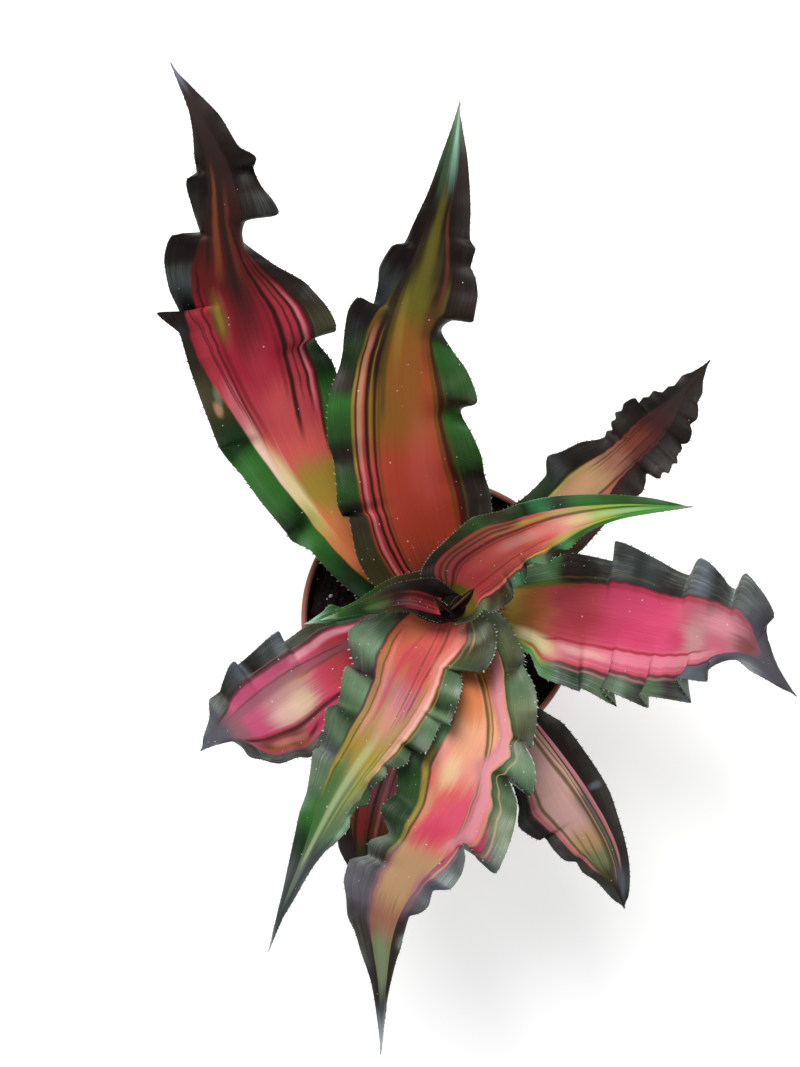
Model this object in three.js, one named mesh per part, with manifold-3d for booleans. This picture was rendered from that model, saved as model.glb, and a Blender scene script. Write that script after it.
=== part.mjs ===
// Earth star bromeliad in a small nursery pot. Millimetres, +Z up.
// The origin is the middle of the pot's flat foot, on the surface that the pot stands on.
// +X is the plant's right and +Y its back, as seen by someone in front of the pot who looks down on it.
import * as THREE from "three";
import { mergeVertices } from "three/addons/utils/BufferGeometryUtils.js";
import Module from "manifold-3d";

const wasm = await Module();
wasm.setup();

// Driving dimensions of the pot
const POT_RIM_RADIUS = 45;
const POT_HEIGHT = 80;
const POT_FOOT_RADIUS = 31;
const POT_WALL = 1.2;
const RIM_LIP = 1.4;
const RIM_DEPTH = 7;
const FOOT_RECESS = 1.6;
const DRAIN_HOLES = 6;
const DRAIN_HOLE_RADIUS = 3.2;
const DRAIN_RING_RADIUS = 19.5;
const POT_SIDES = 48;

// Driving dimensions of the soil and the stem
const SOIL_TOP = 72;
const SOIL_RELIEF = 1.3;
const CLEARANCE = 0.3;
const STEM_X = 3;
const STEM_Y = 5;
const STEM_FOOT = 58;
const STEM_TOP = 104;
const STEM_FOOT_RADIUS = 7.2;
const STEM_TOP_RADIUS = 3.4;
const STEM_WAIST = 80;

// Driving dimensions that all the leaves share
const BLADE_THICKNESS = 0.9;
const TOOTH_LENGTH = 0.8;
const RUFFLE_POWER = 2.6;
const FAN_INNER = 10;
const FAN_OUTER = 42;
const CONE_INNER = 30;
const CONE_OUTER = 60;
const CHANNEL_DEPTH = 0.12;
const AVERAGING = 0.07;
const TIP_HALF_WIDTH = 0.2;
const ACROSS = [1, 0.7, 0.36];

// Each leaf lists, from its base to its tip:
// midrib: points [x, y, z] of its middle line;
// left and right: knots of the waved margin [t, out, up, along], where t runs from 0 at the base to 1 at
// the tip, out is the distance from the midrib, up lifts the margin above the blade or drops it below,
// and along pushes a fold towards the tip. The lowest leaf comes first.
const LEAVES = [
  {
    name: "leaf_front_low",
    colour: 0x8f4a4c,
    midrib: [
      [0.6, -2.4, 81], [-5, -19.5, 84], [-11.5, -38.5, 87], [-17.5, -57, 89], [-21, -72.5, 90], [-24, -86.5, 88],
    ],
    left: [
      [0, 10, 0, 0], [0.15, 9, 0, 0], [0.3, 12, 0, 0], [0.45, 12, -1, 0], [0.6, 14, 1, 0], [0.75, 11, -1, 0],
      [0.88, 7, 1, 0],
    ],
    right: [[0, 12, 0, 0], [0.3, 14, 0, 0], [0.5, 13, 1, 0], [0.65, 15, -1, 0], [0.8, 12, 1, 0], [0.9, 7, 0, 0]],
  },
  {
    name: "leaf_front_right",
    colour: 0xa87c7c,
    midrib: [[7.3, -1.3, 82.5], [22, -22.5, 86], [34, -39.5, 90], [43.5, -56.5, 92], [51.5, -74, 91], [58.5, -92, 87]],
    left: [
      [0, 12, 0, 0], [0.15, 9, 0, 0], [0.29, 5, 0, 0], [0.37, 8, 0, 0], [0.46, 9, 0, 0], [0.6, 10, 0, 0],
      [0.7, 9, 0, 0], [0.78, 8, 0, 0], [0.86, 6.5, 0, 0], [0.96, 3, 0, 0],
    ],
    right: [
      [0, 12, 0, 0], [0.2, 14, 0, 0], [0.4, 16, -1, 0], [0.53, 18.5, -3, 0], [0.57, 21, 2, 0], [0.61, 19.5, 3, 0],
      [0.64, 17.5, 2, 0.5], [0.66, 15.5, -2, 0], [0.7, 14.5, 1, 0], [0.75, 12.5, 2, 0], [0.78, 9.5, 0, 0],
      [0.82, 9, -1, 0], [0.87, 6, 0, 0], [0.95, 3, 0, 0],
    ],
  },
  {
    name: "leaf_back_right",
    colour: 0x5a3a36,
    midrib: [[8.4, 10, 84], [25, 25.5, 88.5], [40.5, 38, 94], [55, 51, 98], [68, 64.5, 102], [82, 80.5, 102]],
    left: [
      [0, 12, 0, 0], [0.15, 12, 0, 0], [0.28, 10, -1, 0], [0.38, 11, -3, 0], [0.44, 15.5, 5, -0.5], [0.47, 14, 3, 0],
      [0.54, 12, 1, 0], [0.61, 8, -2, 0], [0.64, 8, -4, 0], [0.66, 10, 3, 0], [0.7, 11, 3, 0], [0.75, 10.5, 3, 1.5],
      [0.77, 8, -3, -1], [0.8, 7.5, 1, 0], [0.83, 6.5, 1, 0], [0.85, 4, -1, 0], [0.91, 3.5, 0, 0],
    ],
    right: [
      [0, 12, 0, 0], [0.2, 15, -1, 0], [0.31, 15, -2, 0], [0.4, 13.5, -1, 0], [0.51, 12, -2, 0], [0.57, 13, 0, 0],
      [0.6, 11.5, -1, 0], [0.62, 10, -4, 0], [0.64, 13, 4, 0], [0.68, 13, 2, 0], [0.72, 13, 1, 0],
      [0.75, 12, -2, 0], [0.8, 10, 2, 0], [0.84, 8, 2, 0], [0.86, 6.5, -1, 0], [0.92, 4, 0, 0], [0.97, 1.5, 0, 0],
    ],
  },
  {
    name: "leaf_left",
    colour: 0xa24a5c,
    midrib: [[-3.4, 2.1, 86], [-21, -6, 92], [-37, -14, 99], [-49.5, -21.5, 106], [-60.5, -29, 112], [-72, -37, 115]],
    left: [
      [0, 12, 0, 0], [0.2, 15, 0, 0], [0.4, 18, -2, 0], [0.52, 20, -4, 0], [0.6, 21.5, -5, 0], [0.67, 19, -2, 0],
      [0.74, 17.5, -4, 0], [0.8, 13.5, -3, 0], [0.83, 10, 1, 1], [0.85, 6, 2, 0], [0.87, 3, -1, 0],
      [0.94, 1.5, 0, 0],
    ],
    right: [
      [0, 12, 0, 0], [0.12, 11, 0, 0], [0.23, 9.5, 0, 0], [0.38, 14, 1, 0], [0.46, 13, -4, 0], [0.49, 17, 5, 0],
      [0.61, 15.5, 1, 0], [0.66, 15, -2, 0], [0.69, 16.5, 4, 0], [0.76, 13.5, 1, 0], [0.79, 11.5, -2, 0],
      [0.84, 11.5, 2, 0], [0.89, 7, 0, 0], [0.96, 3, 0, 0],
    ],
  },
  {
    name: "leaf_right",
    colour: 0xc64866,
    midrib: [
      [9.8, 4.3, 87.5], [28, 2.5, 92], [46, 1, 98], [63.5, -2, 103], [79.5, -5.5, 106], [94.5, -10, 107],
      [108.5, -22.5, 102],
    ],
    left: [
      [0, 12, 0, 0], [0.08, 14, 0, 0], [0.16, 15, 0, 0], [0.24, 19, -2, 0], [0.27, 20, 2, 0], [0.36, 19, -3, 1.5],
      [0.38, 25, 5, -1.5], [0.47, 22, 1, 0], [0.57, 19, -3, 0.5], [0.59, 24.5, 5, -0.5], [0.72, 18, -3, 0.5],
      [0.74, 23, 4, -1.5], [0.77, 20, 1, 0], [0.8, 14, 3, 2], [0.82, 11, -2, 0], [0.84, 7, 0, -1], [0.9, 2.5, 0, -1],
    ],
    right: [
      [0, 12, 0, 0], [0.1, 13, 0, 0], [0.18, 13, 1, 0], [0.22, 20, 0, 0], [0.28, 22, -1, 0], [0.31, 23, -3, 0],
      [0.33, 21.5, 3, 0], [0.4, 25.5, -4, 3.5], [0.42, 20.5, 4, -3], [0.51, 24, -4, 2], [0.53, 20, 4, -3],
      [0.62, 19.5, -3, 4], [0.64, 13, 4, -4], [0.68, 12, -2, 1.5], [0.7, 8.5, 2, -1.5], [0.73, 5, -1, 0],
      [0.77, 3.5, 0, 0], [0.84, 4.8, 0, 0], [0.92, 3.2, 0, 0],
    ],
  },
  {
    name: "leaf_back_left",
    colour: 0xa83e4c,
    midrib: [
      [-2.8, 8, 89.5], [-22, 18, 95], [-42.5, 43.5, 107], [-53, 67.5, 121], [-58.5, 87.5, 136], [-60.5, 106, 151],
      [-62, 125.5, 162], [-71, 146.5, 168],
    ],
    left: [
      [0, 11, 0, 0], [0.14, 11, 0, 0], [0.21, 11, 0, -1], [0.23, 14, -5, -0.5], [0.25, 13, 5, 0], [0.29, 14, 2, 0],
      [0.32, 15, 0, 0.5], [0.36, 18, -5, 1], [0.38, 17, 5, 0.5], [0.44, 17, 2, 0], [0.48, 17, 0, 1],
      [0.56, 16.5, 1, 0.5], [0.59, 20, 6, 4.5], [0.6, 15.5, -4, -5], [0.63, 16.5, 0, 0], [0.68, 16, 2, 0],
      [0.71, 12, 4, 4], [0.72, 6, -7, -1.5], [0.74, 6.5, -4, -1.5], [0.8, 7.5, 2, 0], [0.82, 7, 3, 0],
      [0.83, 5, -3, -1], [0.86, 4.5, 0, -1], [0.9, 2.5, 0, 0], [0.94, 1, 0, 0],
    ],
    right: [
      [0, 12, 0, 0], [0.15, 15, -1, 0], [0.3, 19, -3, 0], [0.43, 23, -2, 0], [0.48, 20, -6, 0], [0.53, 27, 5, 0],
      [0.61, 22, 1, 0], [0.66, 12, -2, 0], [0.69, 4, -8, 0.5], [0.77, 16.5, 6, 0.5], [0.8, 12, 1, 0.5],
      [0.82, 10.5, -3, 0], [0.84, 12, 3, -1], [0.86, 8, 1, -1], [0.9, 6, 0, 0.5], [0.95, 3, 0, 0],
    ],
  },
  {
    name: "leaf_front",
    colour: 0xd08468,
    midrib: [
      [6.2, -0.3, 91.5], [15.5, -15.5, 98], [15.5, -32, 108], [7.5, -48, 116], [-4.5, -64.5, 122], [-14, -83.5, 126],
      [-17, -101.5, 127], [-18.5, -122.5, 125],
    ],
    left: [
      [0, 12, 0, 0], [0.09, 13, 0, 0], [0.11, 12, 0, 0.5], [0.13, 11.5, 2, 2.5], [0.15, 10, -3, 0],
      [0.17, 9.5, 4, -2], [0.19, 11.5, 2, 0], [0.22, 12, 1, -1], [0.26, 12, 0, -1], [0.28, 12, -4, 1],
      [0.3, 9, 4, 0], [0.32, 13, 2, 0], [0.34, 15.5, 0, 0], [0.36, 17, -3, 1], [0.38, 8, 5, -1],
      [0.4, 13.5, 2, 0], [0.43, 16, 1, 0], [0.46, 18, 0, 0], [0.5, 20.5, -3, 3], [0.52, 15, -4, 0.5],
      [0.54, 7, 4, -2.5], [0.56, 10, 2, -2], [0.58, 11.5, 1, 0], [0.61, 11, 0, 0], [0.63, 7, -3, 0.5],
      [0.66, 7, 2, -0.5], [0.68, 6, 1, 0], [0.7, 3.5, -2, 0], [0.76, 3.5, 0, 0], [0.81, 2.5, 0, 0],
      [0.87, 1.5, 0, 0],
    ],
    right: [
      [0, 12, 0, 0], [0.1, 18, -1, 0], [0.2, 20, -2, 0], [0.3, 20, -3, 0], [0.4, 23, -3, 0], [0.45, 25, -1, 0],
      [0.52, 17, -5, 0], [0.55, 19, -1, 0], [0.58, 12.5, -5, 0], [0.61, 17, -1, 0], [0.63, 15, -5, 0],
      [0.65, 19.5, -2, 0], [0.68, 19, 2, -1], [0.7, 16.5, 0, 0], [0.73, 14, 1, 0], [0.75, 11.5, -1, 0],
      [0.79, 8.5, 0, 0], [0.87, 4, 0, 0], [0.93, 2, 0, 0],
    ],
  },
  {
    name: "leaf_back",
    colour: 0xb4553c,
    midrib: [
      [0.1, 10.2, 93.5], [-6.5, 22, 99], [-12, 40.5, 111], [-13, 63, 125], [-12.5, 82.5, 138], [-7.5, 101, 150],
      [-2.5, 119.5, 158], [2.5, 138.5, 162],
    ],
    left: [
      [0, 12, 0, 0], [0.1, 17, 0, 0], [0.19, 20, 0, 0], [0.22, 19, 0, 0], [0.24, 18, -2, 2.5], [0.26, 20, -5, -2],
      [0.28, 20, 3, 1], [0.31, 19.5, 2, 0], [0.34, 20, -3, -1], [0.39, 21, 4, -1], [0.43, 21, 3, 0],
      [0.46, 20, 0, 0], [0.5, 17, -5, 0], [0.55, 16, 2, 0], [0.58, 15.5, 4, 3.5], [0.6, 13.5, 5, 5],
      [0.62, 9.5, -4, -4], [0.65, 9.5, 1, 0], [0.68, 10, 3, 0], [0.7, 9, 4, 1.5], [0.72, 8, 3, 1],
      [0.74, 5.5, -3, -2], [0.78, 4, 0, 0.5], [0.84, 2.5, 0, 0], [0.91, 1.5, 0, 0],
    ],
    right: [
      [0, 12, 0, 0], [0.12, 20, 0, 0], [0.24, 26, 0, 0], [0.28, 25, -2, 0], [0.35, 24, 3, -1], [0.38, 21, 0, 1],
      [0.41, 18, -5, 0], [0.46, 22, 5, -1], [0.5, 19.5, 1, 0], [0.54, 15, -2, 0], [0.57, 11, -7, 0],
      [0.66, 18.5, 6, 0], [0.68, 18, 3, 0], [0.7, 16, 1, 1], [0.72, 14, -1, 0], [0.75, 14, 2, 0.5],
      [0.77, 12, 0, -0.5], [0.82, 10, 0, 0], [0.9, 6, 0, 0.5], [0.96, 2.5, 0, 0],
    ],
  },
  {
    name: "leaf_front_left",
    colour: 0xa09a50,
    midrib: [
      [0.7, 0, 95.5], [-4, -10, 103], [-10, -20, 112], [-18.5, -33, 121], [-29.5, -48.5, 128], [-39, -65, 131],
      [-46, -79, 131], [-50.5, -92, 128],
    ],
    left: [
      [0, 12, 0, 0], [0.06, 17, 0, 0], [0.11, 23, 0, 0], [0.13, 24, 1, 3.5], [0.15, 19.5, 3, 6], [0.17, 11, -4, -5],
      [0.2, 13, 0, 0], [0.25, 14, 2, 0], [0.3, 14.5, 4, 2.5], [0.32, 13, -4, -2.5], [0.36, 13, 0, 0],
      [0.39, 12.5, 4, 1.5], [0.41, 9.5, -3, -1.5], [0.43, 10, 0, 0], [0.45, 8, 3, 1.5], [0.47, 6, -3, -1.5],
      [0.48, 7, 0, 0], [0.51, 5.5, 3, 0.5], [0.52, 6, -2, 0], [0.55, 7, 1, 0], [0.57, 5, 1, 0], [0.59, 5, -1, 0],
      [0.61, 6, 1, 0], [0.65, 5, 0, 0], [0.68, 3.5, 0, 0], [0.73, 2.5, 0, 0], [0.82, 2, 0, 0], [0.9, 1, 0, 0],
    ],
    right: [
      [0, 11, 0, 0], [0.08, 16, 0, 0], [0.17, 23, -2, 0], [0.26, 28, -4, 0], [0.29, 23.5, -2, 0], [0.31, 19, -3, 0],
      [0.34, 21, 4, 0.5], [0.36, 20, 2, 0], [0.4, 17, -3, 0], [0.44, 19, 4, 0.5], [0.48, 16, 1, 0],
      [0.51, 14, -2, 0], [0.53, 15, 2, -1], [0.55, 13, 1, 0], [0.6, 10, 0, -0.5], [0.63, 9, 0, 0.5],
      [0.68, 7, 0, 0], [0.75, 4.5, 0, 0], [0.82, 2.5, 0, 0], [0.9, 1.2, 0, 0],
    ],
  },
  {
    name: "leaf_heart_lower",
    colour: 0x7d8446,
    midrib: [[-2, 5.5, 98.5], [-14, 7, 107], [-27.5, 4, 114], [-41, 0.8, 118]],
    left: [[0, 8, 0, 0], [0.15, 5, 0, 0], [0.3, 2.5, 0, 0], [0.6, 2.5, 0, 0], [0.8, 2, 0, 0], [0.92, 1, 0, 0]],
    right: [
      [0, 8, 0, 0], [0.18, 12, 0, 0], [0.3, 9, 0, 0], [0.4, 7, 0, 0], [0.5, 5, 0, 0], [0.6, 3.5, 0, 0],
      [0.72, 2.5, 0, 0], [0.8, 4, 1.5, 0], [0.86, 2.5, 0, 0], [0.94, 1.2, 0, 0],
    ],
  },
  {
    name: "leaf_young_right",
    colour: 0xb9a458,
    midrib: [[6.2, 8.4, 101], [12, 14.5, 109], [20.5, 21.5, 120], [32.5, 28, 128], [49, 32.5, 132], [70.5, 35, 129]],
    left: [
      [0, 9, 0, 0], [0.1, 14, 0, 0], [0.17, 20, 0, 0], [0.21, 21.5, 0, 0], [0.25, 20.5, 0, 0], [0.29, 18.5, 0, 0],
      [0.34, 17.5, 0, 0], [0.38, 17, 0, 0], [0.42, 15, 0, 0], [0.48, 13, 1, 0], [0.51, 12.5, -1, 0],
      [0.54, 12, 1, 0], [0.61, 10.5, 0, 0], [0.7, 8.5, 0, 0], [0.81, 6, 0, 0], [0.89, 4, 0, 0],
    ],
    right: [
      [0, 11, 3, 2], [0.05, 10, 3, 3], [0.12, 8.5, 2, 0.5], [0.2, 11.5, 1, 0], [0.25, 12, 0, 0], [0.28, 11, 1, 2.5],
      [0.3, 8, -3, -2], [0.33, 9, 1, 0], [0.39, 9, 3, 1], [0.41, 6, -2, -1], [0.44, 5, 2, 0.5], [0.52, 7.5, 2, 0],
      [0.56, 5, -1, 0], [0.61, 6, 1, 0], [0.65, 4.5, 0, 0], [0.72, 2.5, 0, 0], [0.8, 1.5, 0, 0], [0.9, 1, 0, 0],
    ],
  },
  {
    name: "leaf_heart_upper",
    colour: 0x7c3030,
    midrib: [[-1.3, 6.1, 103], [-12, 9, 113], [-23.5, 6.2, 119], [-36, 2.2, 121]],
    left: [
      [0, 8, 0, 0], [0.08, 6.5, 1, 0], [0.2, 5.5, 1, 0], [0.4, 5.2, 0, 0], [0.57, 4, 0, 0], [0.73, 2.5, 0, 0],
      [0.88, 1.5, 0, 0],
    ],
    right: [
      [0, 6.5, 1, 0], [0.1, 7.5, 1, 0], [0.18, 8, 1, 0], [0.25, 6.5, 1, 0], [0.32, 5, 1, 0], [0.42, 4, 0, 0],
      [0.57, 2.7, 0, 0], [0.73, 1.5, 0, 0], [0.9, 0.8, 0, 0],
    ],
  },
];

// The two smallest leaves stand upright in the heart of the rosette.
const BUDS = [
  {
    name: "bud_right",
    colour: 0x3a1e1c,
    route: [[4, 5.6, 104.4], [4.9, 7.2, 110], [6.6, 9.3, 117], [8.4, 11.3, 123]],
    radius: 1.5,
  },
  {
    name: "bud_left",
    colour: 0x44201f,
    route: [[0.7, 4.8, 104.4], [-0.3, 5.9, 109], [-1.8, 7.3, 115], [-3.1, 9, 120]],
    radius: 0.9,
  },
];

const smooth = (x) => THREE.MathUtils.smoothstep(x, 0, 1);

// Geometry from a flat list of coordinates and a list of corner numbers, three to a triangle.
function facesOf(positions, index) {
  const geometry = new THREE.BufferGeometry();
  geometry.setAttribute("position", new THREE.Float32BufferAttribute(positions, 3));
  return geometry.setIndex(index);
}

// Value of one column of a knot list at t, on a curve that never swings past its knots.
function follow(knots, column, t) {
  const last = knots.length - 1;
  if (t <= knots[0][0]) return knots[0][column];
  if (t >= knots[last][0]) return knots[last][column];
  const i = knots.findIndex((k) => k[0] > t) - 1;
  const slope = (j) => (knots[j + 1][column] - knots[j][column]) / (knots[j + 1][0] - knots[j][0]);
  const tangent = (j) => {
    if (j === 0) return slope(0);
    if (j === last) return slope(last - 1);
    const before = slope(j - 1);
    const after = slope(j);
    return before * after <= 0 ? 0 : (2 * before * after) / (before + after);
  };
  const h = knots[i + 1][0] - knots[i][0];
  const u = (t - knots[i][0]) / h;
  const uu = u * u;
  const uuu = uu * u;
  const start = (2 * uuu - 3 * uu + 1) * knots[i][column];
  const leaving = (uuu - 2 * uu + u) * h * tangent(i);
  const end = (3 * uu - 2 * uuu) * knots[i + 1][column];
  const arriving = (uuu - uu) * h * tangent(i + 1);
  return start + leaving + end + arriving;
}

// A margin's knots with the tip added, where it meets the midrib.
const closed = (margin) => [...margin, [1, TIP_HALF_WIDTH, 0, 0]];

// Half-width of the flat part of a blade: its margin with the waves averaged out.
function flatWidth(margin, t) {
  const samples = [-1, -0.5, 0, 0.5, 1];
  const widths = samples.map((s) => follow(margin, 1, Math.min(1, Math.max(0, t + s * AVERAGING))));
  return widths.reduce((sum, width) => sum + width, 0) / samples.length;
}

// One point of a blade's middle surface. Near the stem the rows of a blade are arcs round the stem and each
// blade is part of a cone, so the bases nest in each other; further out the rows are straight and channelled.
function bladePoint(curve, margin, side, t, v) {
  const m = curve.getPoint(t);
  const tangent = curve.getTangent(t);
  const heading = new THREE.Vector3(tangent.x, tangent.y, 0).normalize();
  const across = new THREE.Vector3(heading.y, -heading.x, 0);
  const normal = new THREE.Vector3().crossVectors(across, tangent).normalize();
  const reach = Math.hypot(m.x - STEM_X, m.y - STEM_Y);
  const width = flatWidth(margin, t);
  const edge = Math.max(follow(margin, 1, t) - TOOTH_LENGTH / 2, TIP_HALF_WIDTH);
  const ruffle = v ** RUFFLE_POWER;
  const y = width * v + (edge - width) * ruffle;
  const fan = 1 - smooth((reach - FAN_INNER) / (FAN_OUTER - FAN_INNER));
  const turn = y / Math.max(reach, 1);
  const p = m.clone();
  p.addScaledVector(heading, fan * reach * (Math.cos(turn) - 1));
  p.addScaledVector(across, side * (fan * reach * Math.sin(turn) + (1 - fan) * y));
  p.addScaledVector(normal, follow(margin, 2, t) * ruffle);
  p.addScaledVector(tangent, follow(margin, 3, t) * ruffle);
  const [m1, m2] = [curve.getPoint(Math.max(0, t - 0.01)), curve.getPoint(Math.min(1, t + 0.01))];
  const run = Math.hypot(m2.x - STEM_X, m2.y - STEM_Y) - Math.hypot(m1.x - STEM_X, m1.y - STEM_Y);
  const climb = Math.abs(run) > 1e-6 ? THREE.MathUtils.clamp((m2.z - m1.z) / run, -0.3, 1.2) : 0;
  const drift = Math.hypot(p.x - STEM_X, p.y - STEM_Y) - reach;
  p.z += climb * drift * (1 - smooth((reach - CONE_INNER) / (CONE_OUTER - CONE_INNER)));
  p.z += (CHANNEL_DEPTH * (1 - fan) * y * y) / Math.max(width, 1);
  return p;
}

// Places along a blade where it gets a row of points: every knot, and more where knots are far apart.
function rowPlaces(leaf) {
  const sorted = [...leaf.left, ...leaf.right].map((k) => k[0]).sort((a, b) => a - b);
  const places = [];
  for (const t of [...sorted, 1]) {
    const before = places.at(-1);
    if (before !== undefined && t - before < 0.009) continue;
    const extra = before === undefined ? 0 : Math.floor((t - before) / 0.055);
    for (let k = 1; k <= extra; k++) places.push(before + ((t - before) * k) / (extra + 1));
    places.push(t);
  }
  return places;
}

// Closed blade: a grid of rows with the same split on both faces, ending in one point at the tip,
// and a small tooth on each margin between two rows.
function bladeGeometry(leaf) {
  const middle = leaf.midrib.map((p) => new THREE.Vector3(...p));
  const curve = new THREE.CatmullRomCurve3(middle, false, "catmullrom", 0.5);
  const [left, right] = [closed(leaf.left), closed(leaf.right)];
  const places = rowPlaces(leaf).slice(0, -1);
  const row = (t) => [
    ...ACROSS.map((v) => bladePoint(curve, left, -1, t, v)),
    curve.getPoint(t),
    ...[...ACROSS].reverse().map((v) => bladePoint(curve, right, 1, t, v)),
  ];
  const grid = places.map(row);
  const tip = curve.getPoint(1);
  const columns = grid[0].length;
  const at = (i, j) => (i < grid.length ? grid[i][j] : tip);
  const positions = [];
  const index = [];
  const add = (p) => positions.push(p.x, p.y, p.z) / 3 - 1;
  const normalAt = (i, j) => {
    const alongRow = at(i, Math.min(columns - 1, j + 1)).clone().sub(at(i, Math.max(0, j - 1)));
    const alongLeaf = at(Math.min(grid.length, i + 1), j).clone().sub(at(Math.max(0, i - 1), j));
    return alongRow.cross(alongLeaf).normalize();
  };
  const half = BLADE_THICKNESS / 2;
  const face = (side) =>
    grid.map((points, i) => points.map((p, j) => add(p.clone().addScaledVector(normalAt(i, j), side * half))));
  const top = face(1);
  const bottom = face(-1);
  const tipTop = add(tip.clone().add(new THREE.Vector3(0, 0, half)));
  const tipBottom = add(tip.clone().add(new THREE.Vector3(0, 0, -half)));
  const tooth = (i, j, inner) => {
    const [a, b] = [at(i, j), at(i + 1, j)];
    const outward = a.clone().sub(at(i, inner));
    const length = Math.min(TOOTH_LENGTH, outward.length());
    return add(a.clone().lerp(b, 0.62).addScaledVector(outward.normalize(), length));
  };
  for (let i = 0; i < grid.length - 1; i++) {
    for (let j = 0; j < columns - 1; j++) {
      index.push(top[i][j], top[i][j + 1], top[i + 1][j + 1]);
      index.push(top[i][j], top[i + 1][j + 1], top[i + 1][j]);
      index.push(bottom[i][j + 1], bottom[i][j], bottom[i + 1][j + 1]);
      index.push(bottom[i + 1][j + 1], bottom[i][j], bottom[i + 1][j]);
    }
    const end = columns - 1;
    const l = tooth(i, 0, 1);
    const r = tooth(i, end, end - 1);
    index.push(top[i][0], top[i + 1][0], l, top[i + 1][0], bottom[i + 1][0], l);
    index.push(bottom[i + 1][0], bottom[i][0], l, bottom[i][0], top[i][0], l);
    index.push(top[i + 1][end], top[i][end], r, bottom[i + 1][end], top[i + 1][end], r);
    index.push(bottom[i][end], bottom[i + 1][end], r, top[i][end], bottom[i][end], r);
  }
  const n = grid.length - 1;
  for (let j = 0; j < columns - 1; j++) {
    index.push(top[n][j], top[n][j + 1], tipTop, bottom[n][j + 1], bottom[n][j], tipBottom);
    index.push(top[0][j + 1], top[0][j], bottom[0][j], top[0][j + 1], bottom[0][j], bottom[0][j + 1]);
  }
  index.push(top[n][0], tipTop, tipBottom, top[n][0], tipBottom, bottom[n][0]);
  index.push(tipTop, top[n][columns - 1], bottom[n][columns - 1]);
  index.push(tipTop, bottom[n][columns - 1], tipBottom);
  return facesOf(positions, index);
}

// Slim upright leaf, rolled into a spike that narrows to its tip.
function budGeometry(bud) {
  const curve = new THREE.CatmullRomCurve3(bud.route.map((p) => new THREE.Vector3(...p)));
  const sides = 8;
  const steps = 7;
  const positions = [];
  const index = [];
  for (let i = 0; i < steps; i++) {
    const t = i / steps;
    const m = curve.getPoint(t);
    const radius = bud.radius * (1 - t * t) + 0.35;
    for (let k = 0; k < sides; k++) {
      const a = (2 * Math.PI * k) / sides;
      positions.push(m.x + radius * Math.cos(a), m.y + 0.7 * radius * Math.sin(a), m.z);
    }
  }
  const tip = curve.getPoint(1);
  positions.push(tip.x, tip.y, tip.z);
  const last = steps * sides;
  for (let k = 0; k < sides; k++) {
    const next = (k + 1) % sides;
    for (let i = 0; i < steps - 1; i++) {
      const [a, b] = [i * sides + k, i * sides + next];
      index.push(a, b, b + sides, a, b + sides, a + sides);
    }
    index.push((steps - 1) * sides + k, (steps - 1) * sides + next, last);
    if (k > 0 && k < sides - 1) index.push(0, next, k);
  }
  return facesOf(positions, index);
}

// A turned shape about the vertical axis from [radius, height] pairs, listed with the outside going up.
function turned(pairs, sides) {
  const geometry = new THREE.LatheGeometry(pairs.map(([r, z]) => new THREE.Vector2(r, z)), sides);
  return geometry.rotateX(Math.PI / 2);
}

function solidOf(geometry) {
  const bare = geometry.clone();
  bare.deleteAttribute("normal");
  bare.deleteAttribute("uv");
  const merged = mergeVertices(bare, 1e-4);
  const vertProperties = merged.attributes.position.array;
  const triVerts = new Uint32Array(merged.index.array);
  return new wasm.Manifold(new wasm.Mesh({ numProp: 3, vertProperties, triVerts }));
}

function geometryOf(solid) {
  const mesh = solid.getMesh();
  const geometry = new THREE.BufferGeometry();
  geometry.setAttribute("position", new THREE.BufferAttribute(new Float32Array(mesh.vertProperties), 3));
  return geometry.setIndex(new THREE.BufferAttribute(new Uint32Array(mesh.triVerts), 1));
}

// Thin-walled pot with a lip at its rim and a foot whose raised groove holds the drain holes.
function potGeometry() {
  const shoulder = POT_HEIGHT - RIM_DEPTH;
  const bodyTop = POT_RIM_RADIUS - RIM_LIP;
  const floor = POT_WALL;
  const profile = [
    [0, 0], [12, 0], [13.5, FOOT_RECESS], [25.5, FOOT_RECESS], [27, 0],
    [POT_FOOT_RADIUS - 1, 0], [POT_FOOT_RADIUS, 1],
    [bodyTop - 0.6, shoulder - 1], [POT_RIM_RADIUS - 0.5, shoulder],
    [POT_RIM_RADIUS, POT_HEIGHT - 0.7], [POT_RIM_RADIUS - 0.5, POT_HEIGHT],
    [bodyTop - POT_WALL + 0.6, POT_HEIGHT], [bodyTop - POT_WALL, POT_HEIGHT - 0.8],
    [bodyTop - POT_WALL - 0.4, shoulder - 1.5],
    [POT_FOOT_RADIUS - POT_WALL, FOOT_RECESS + floor], [0, FOOT_RECESS + floor],
  ];
  let pot = solidOf(turned(profile, POT_SIDES));
  for (let k = 0; k < DRAIN_HOLES; k++) {
    const a = (2 * Math.PI * k) / DRAIN_HOLES;
    const hole = new THREE.CylinderGeometry(DRAIN_HOLE_RADIUS, DRAIN_HOLE_RADIUS, 12, 16);
    hole.rotateX(Math.PI / 2);
    hole.translate(DRAIN_RING_RADIUS * Math.cos(a), DRAIN_RING_RADIUS * Math.sin(a), 0);
    pot = pot.subtract(solidOf(hole));
  }
  return geometryOf(pot);
}

// Height of the crumbly soil surface above or below its mean.
function soilRelief(x, y) {
  const coarse = Math.sin(0.31 * x + 1.7) * Math.cos(0.27 * y - 0.6);
  const fine = Math.sin(0.83 * x - 0.9 * y) * Math.cos(0.71 * y + 0.35 * x);
  return SOIL_RELIEF * (0.55 * coarse + 0.45 * fine);
}

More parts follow.
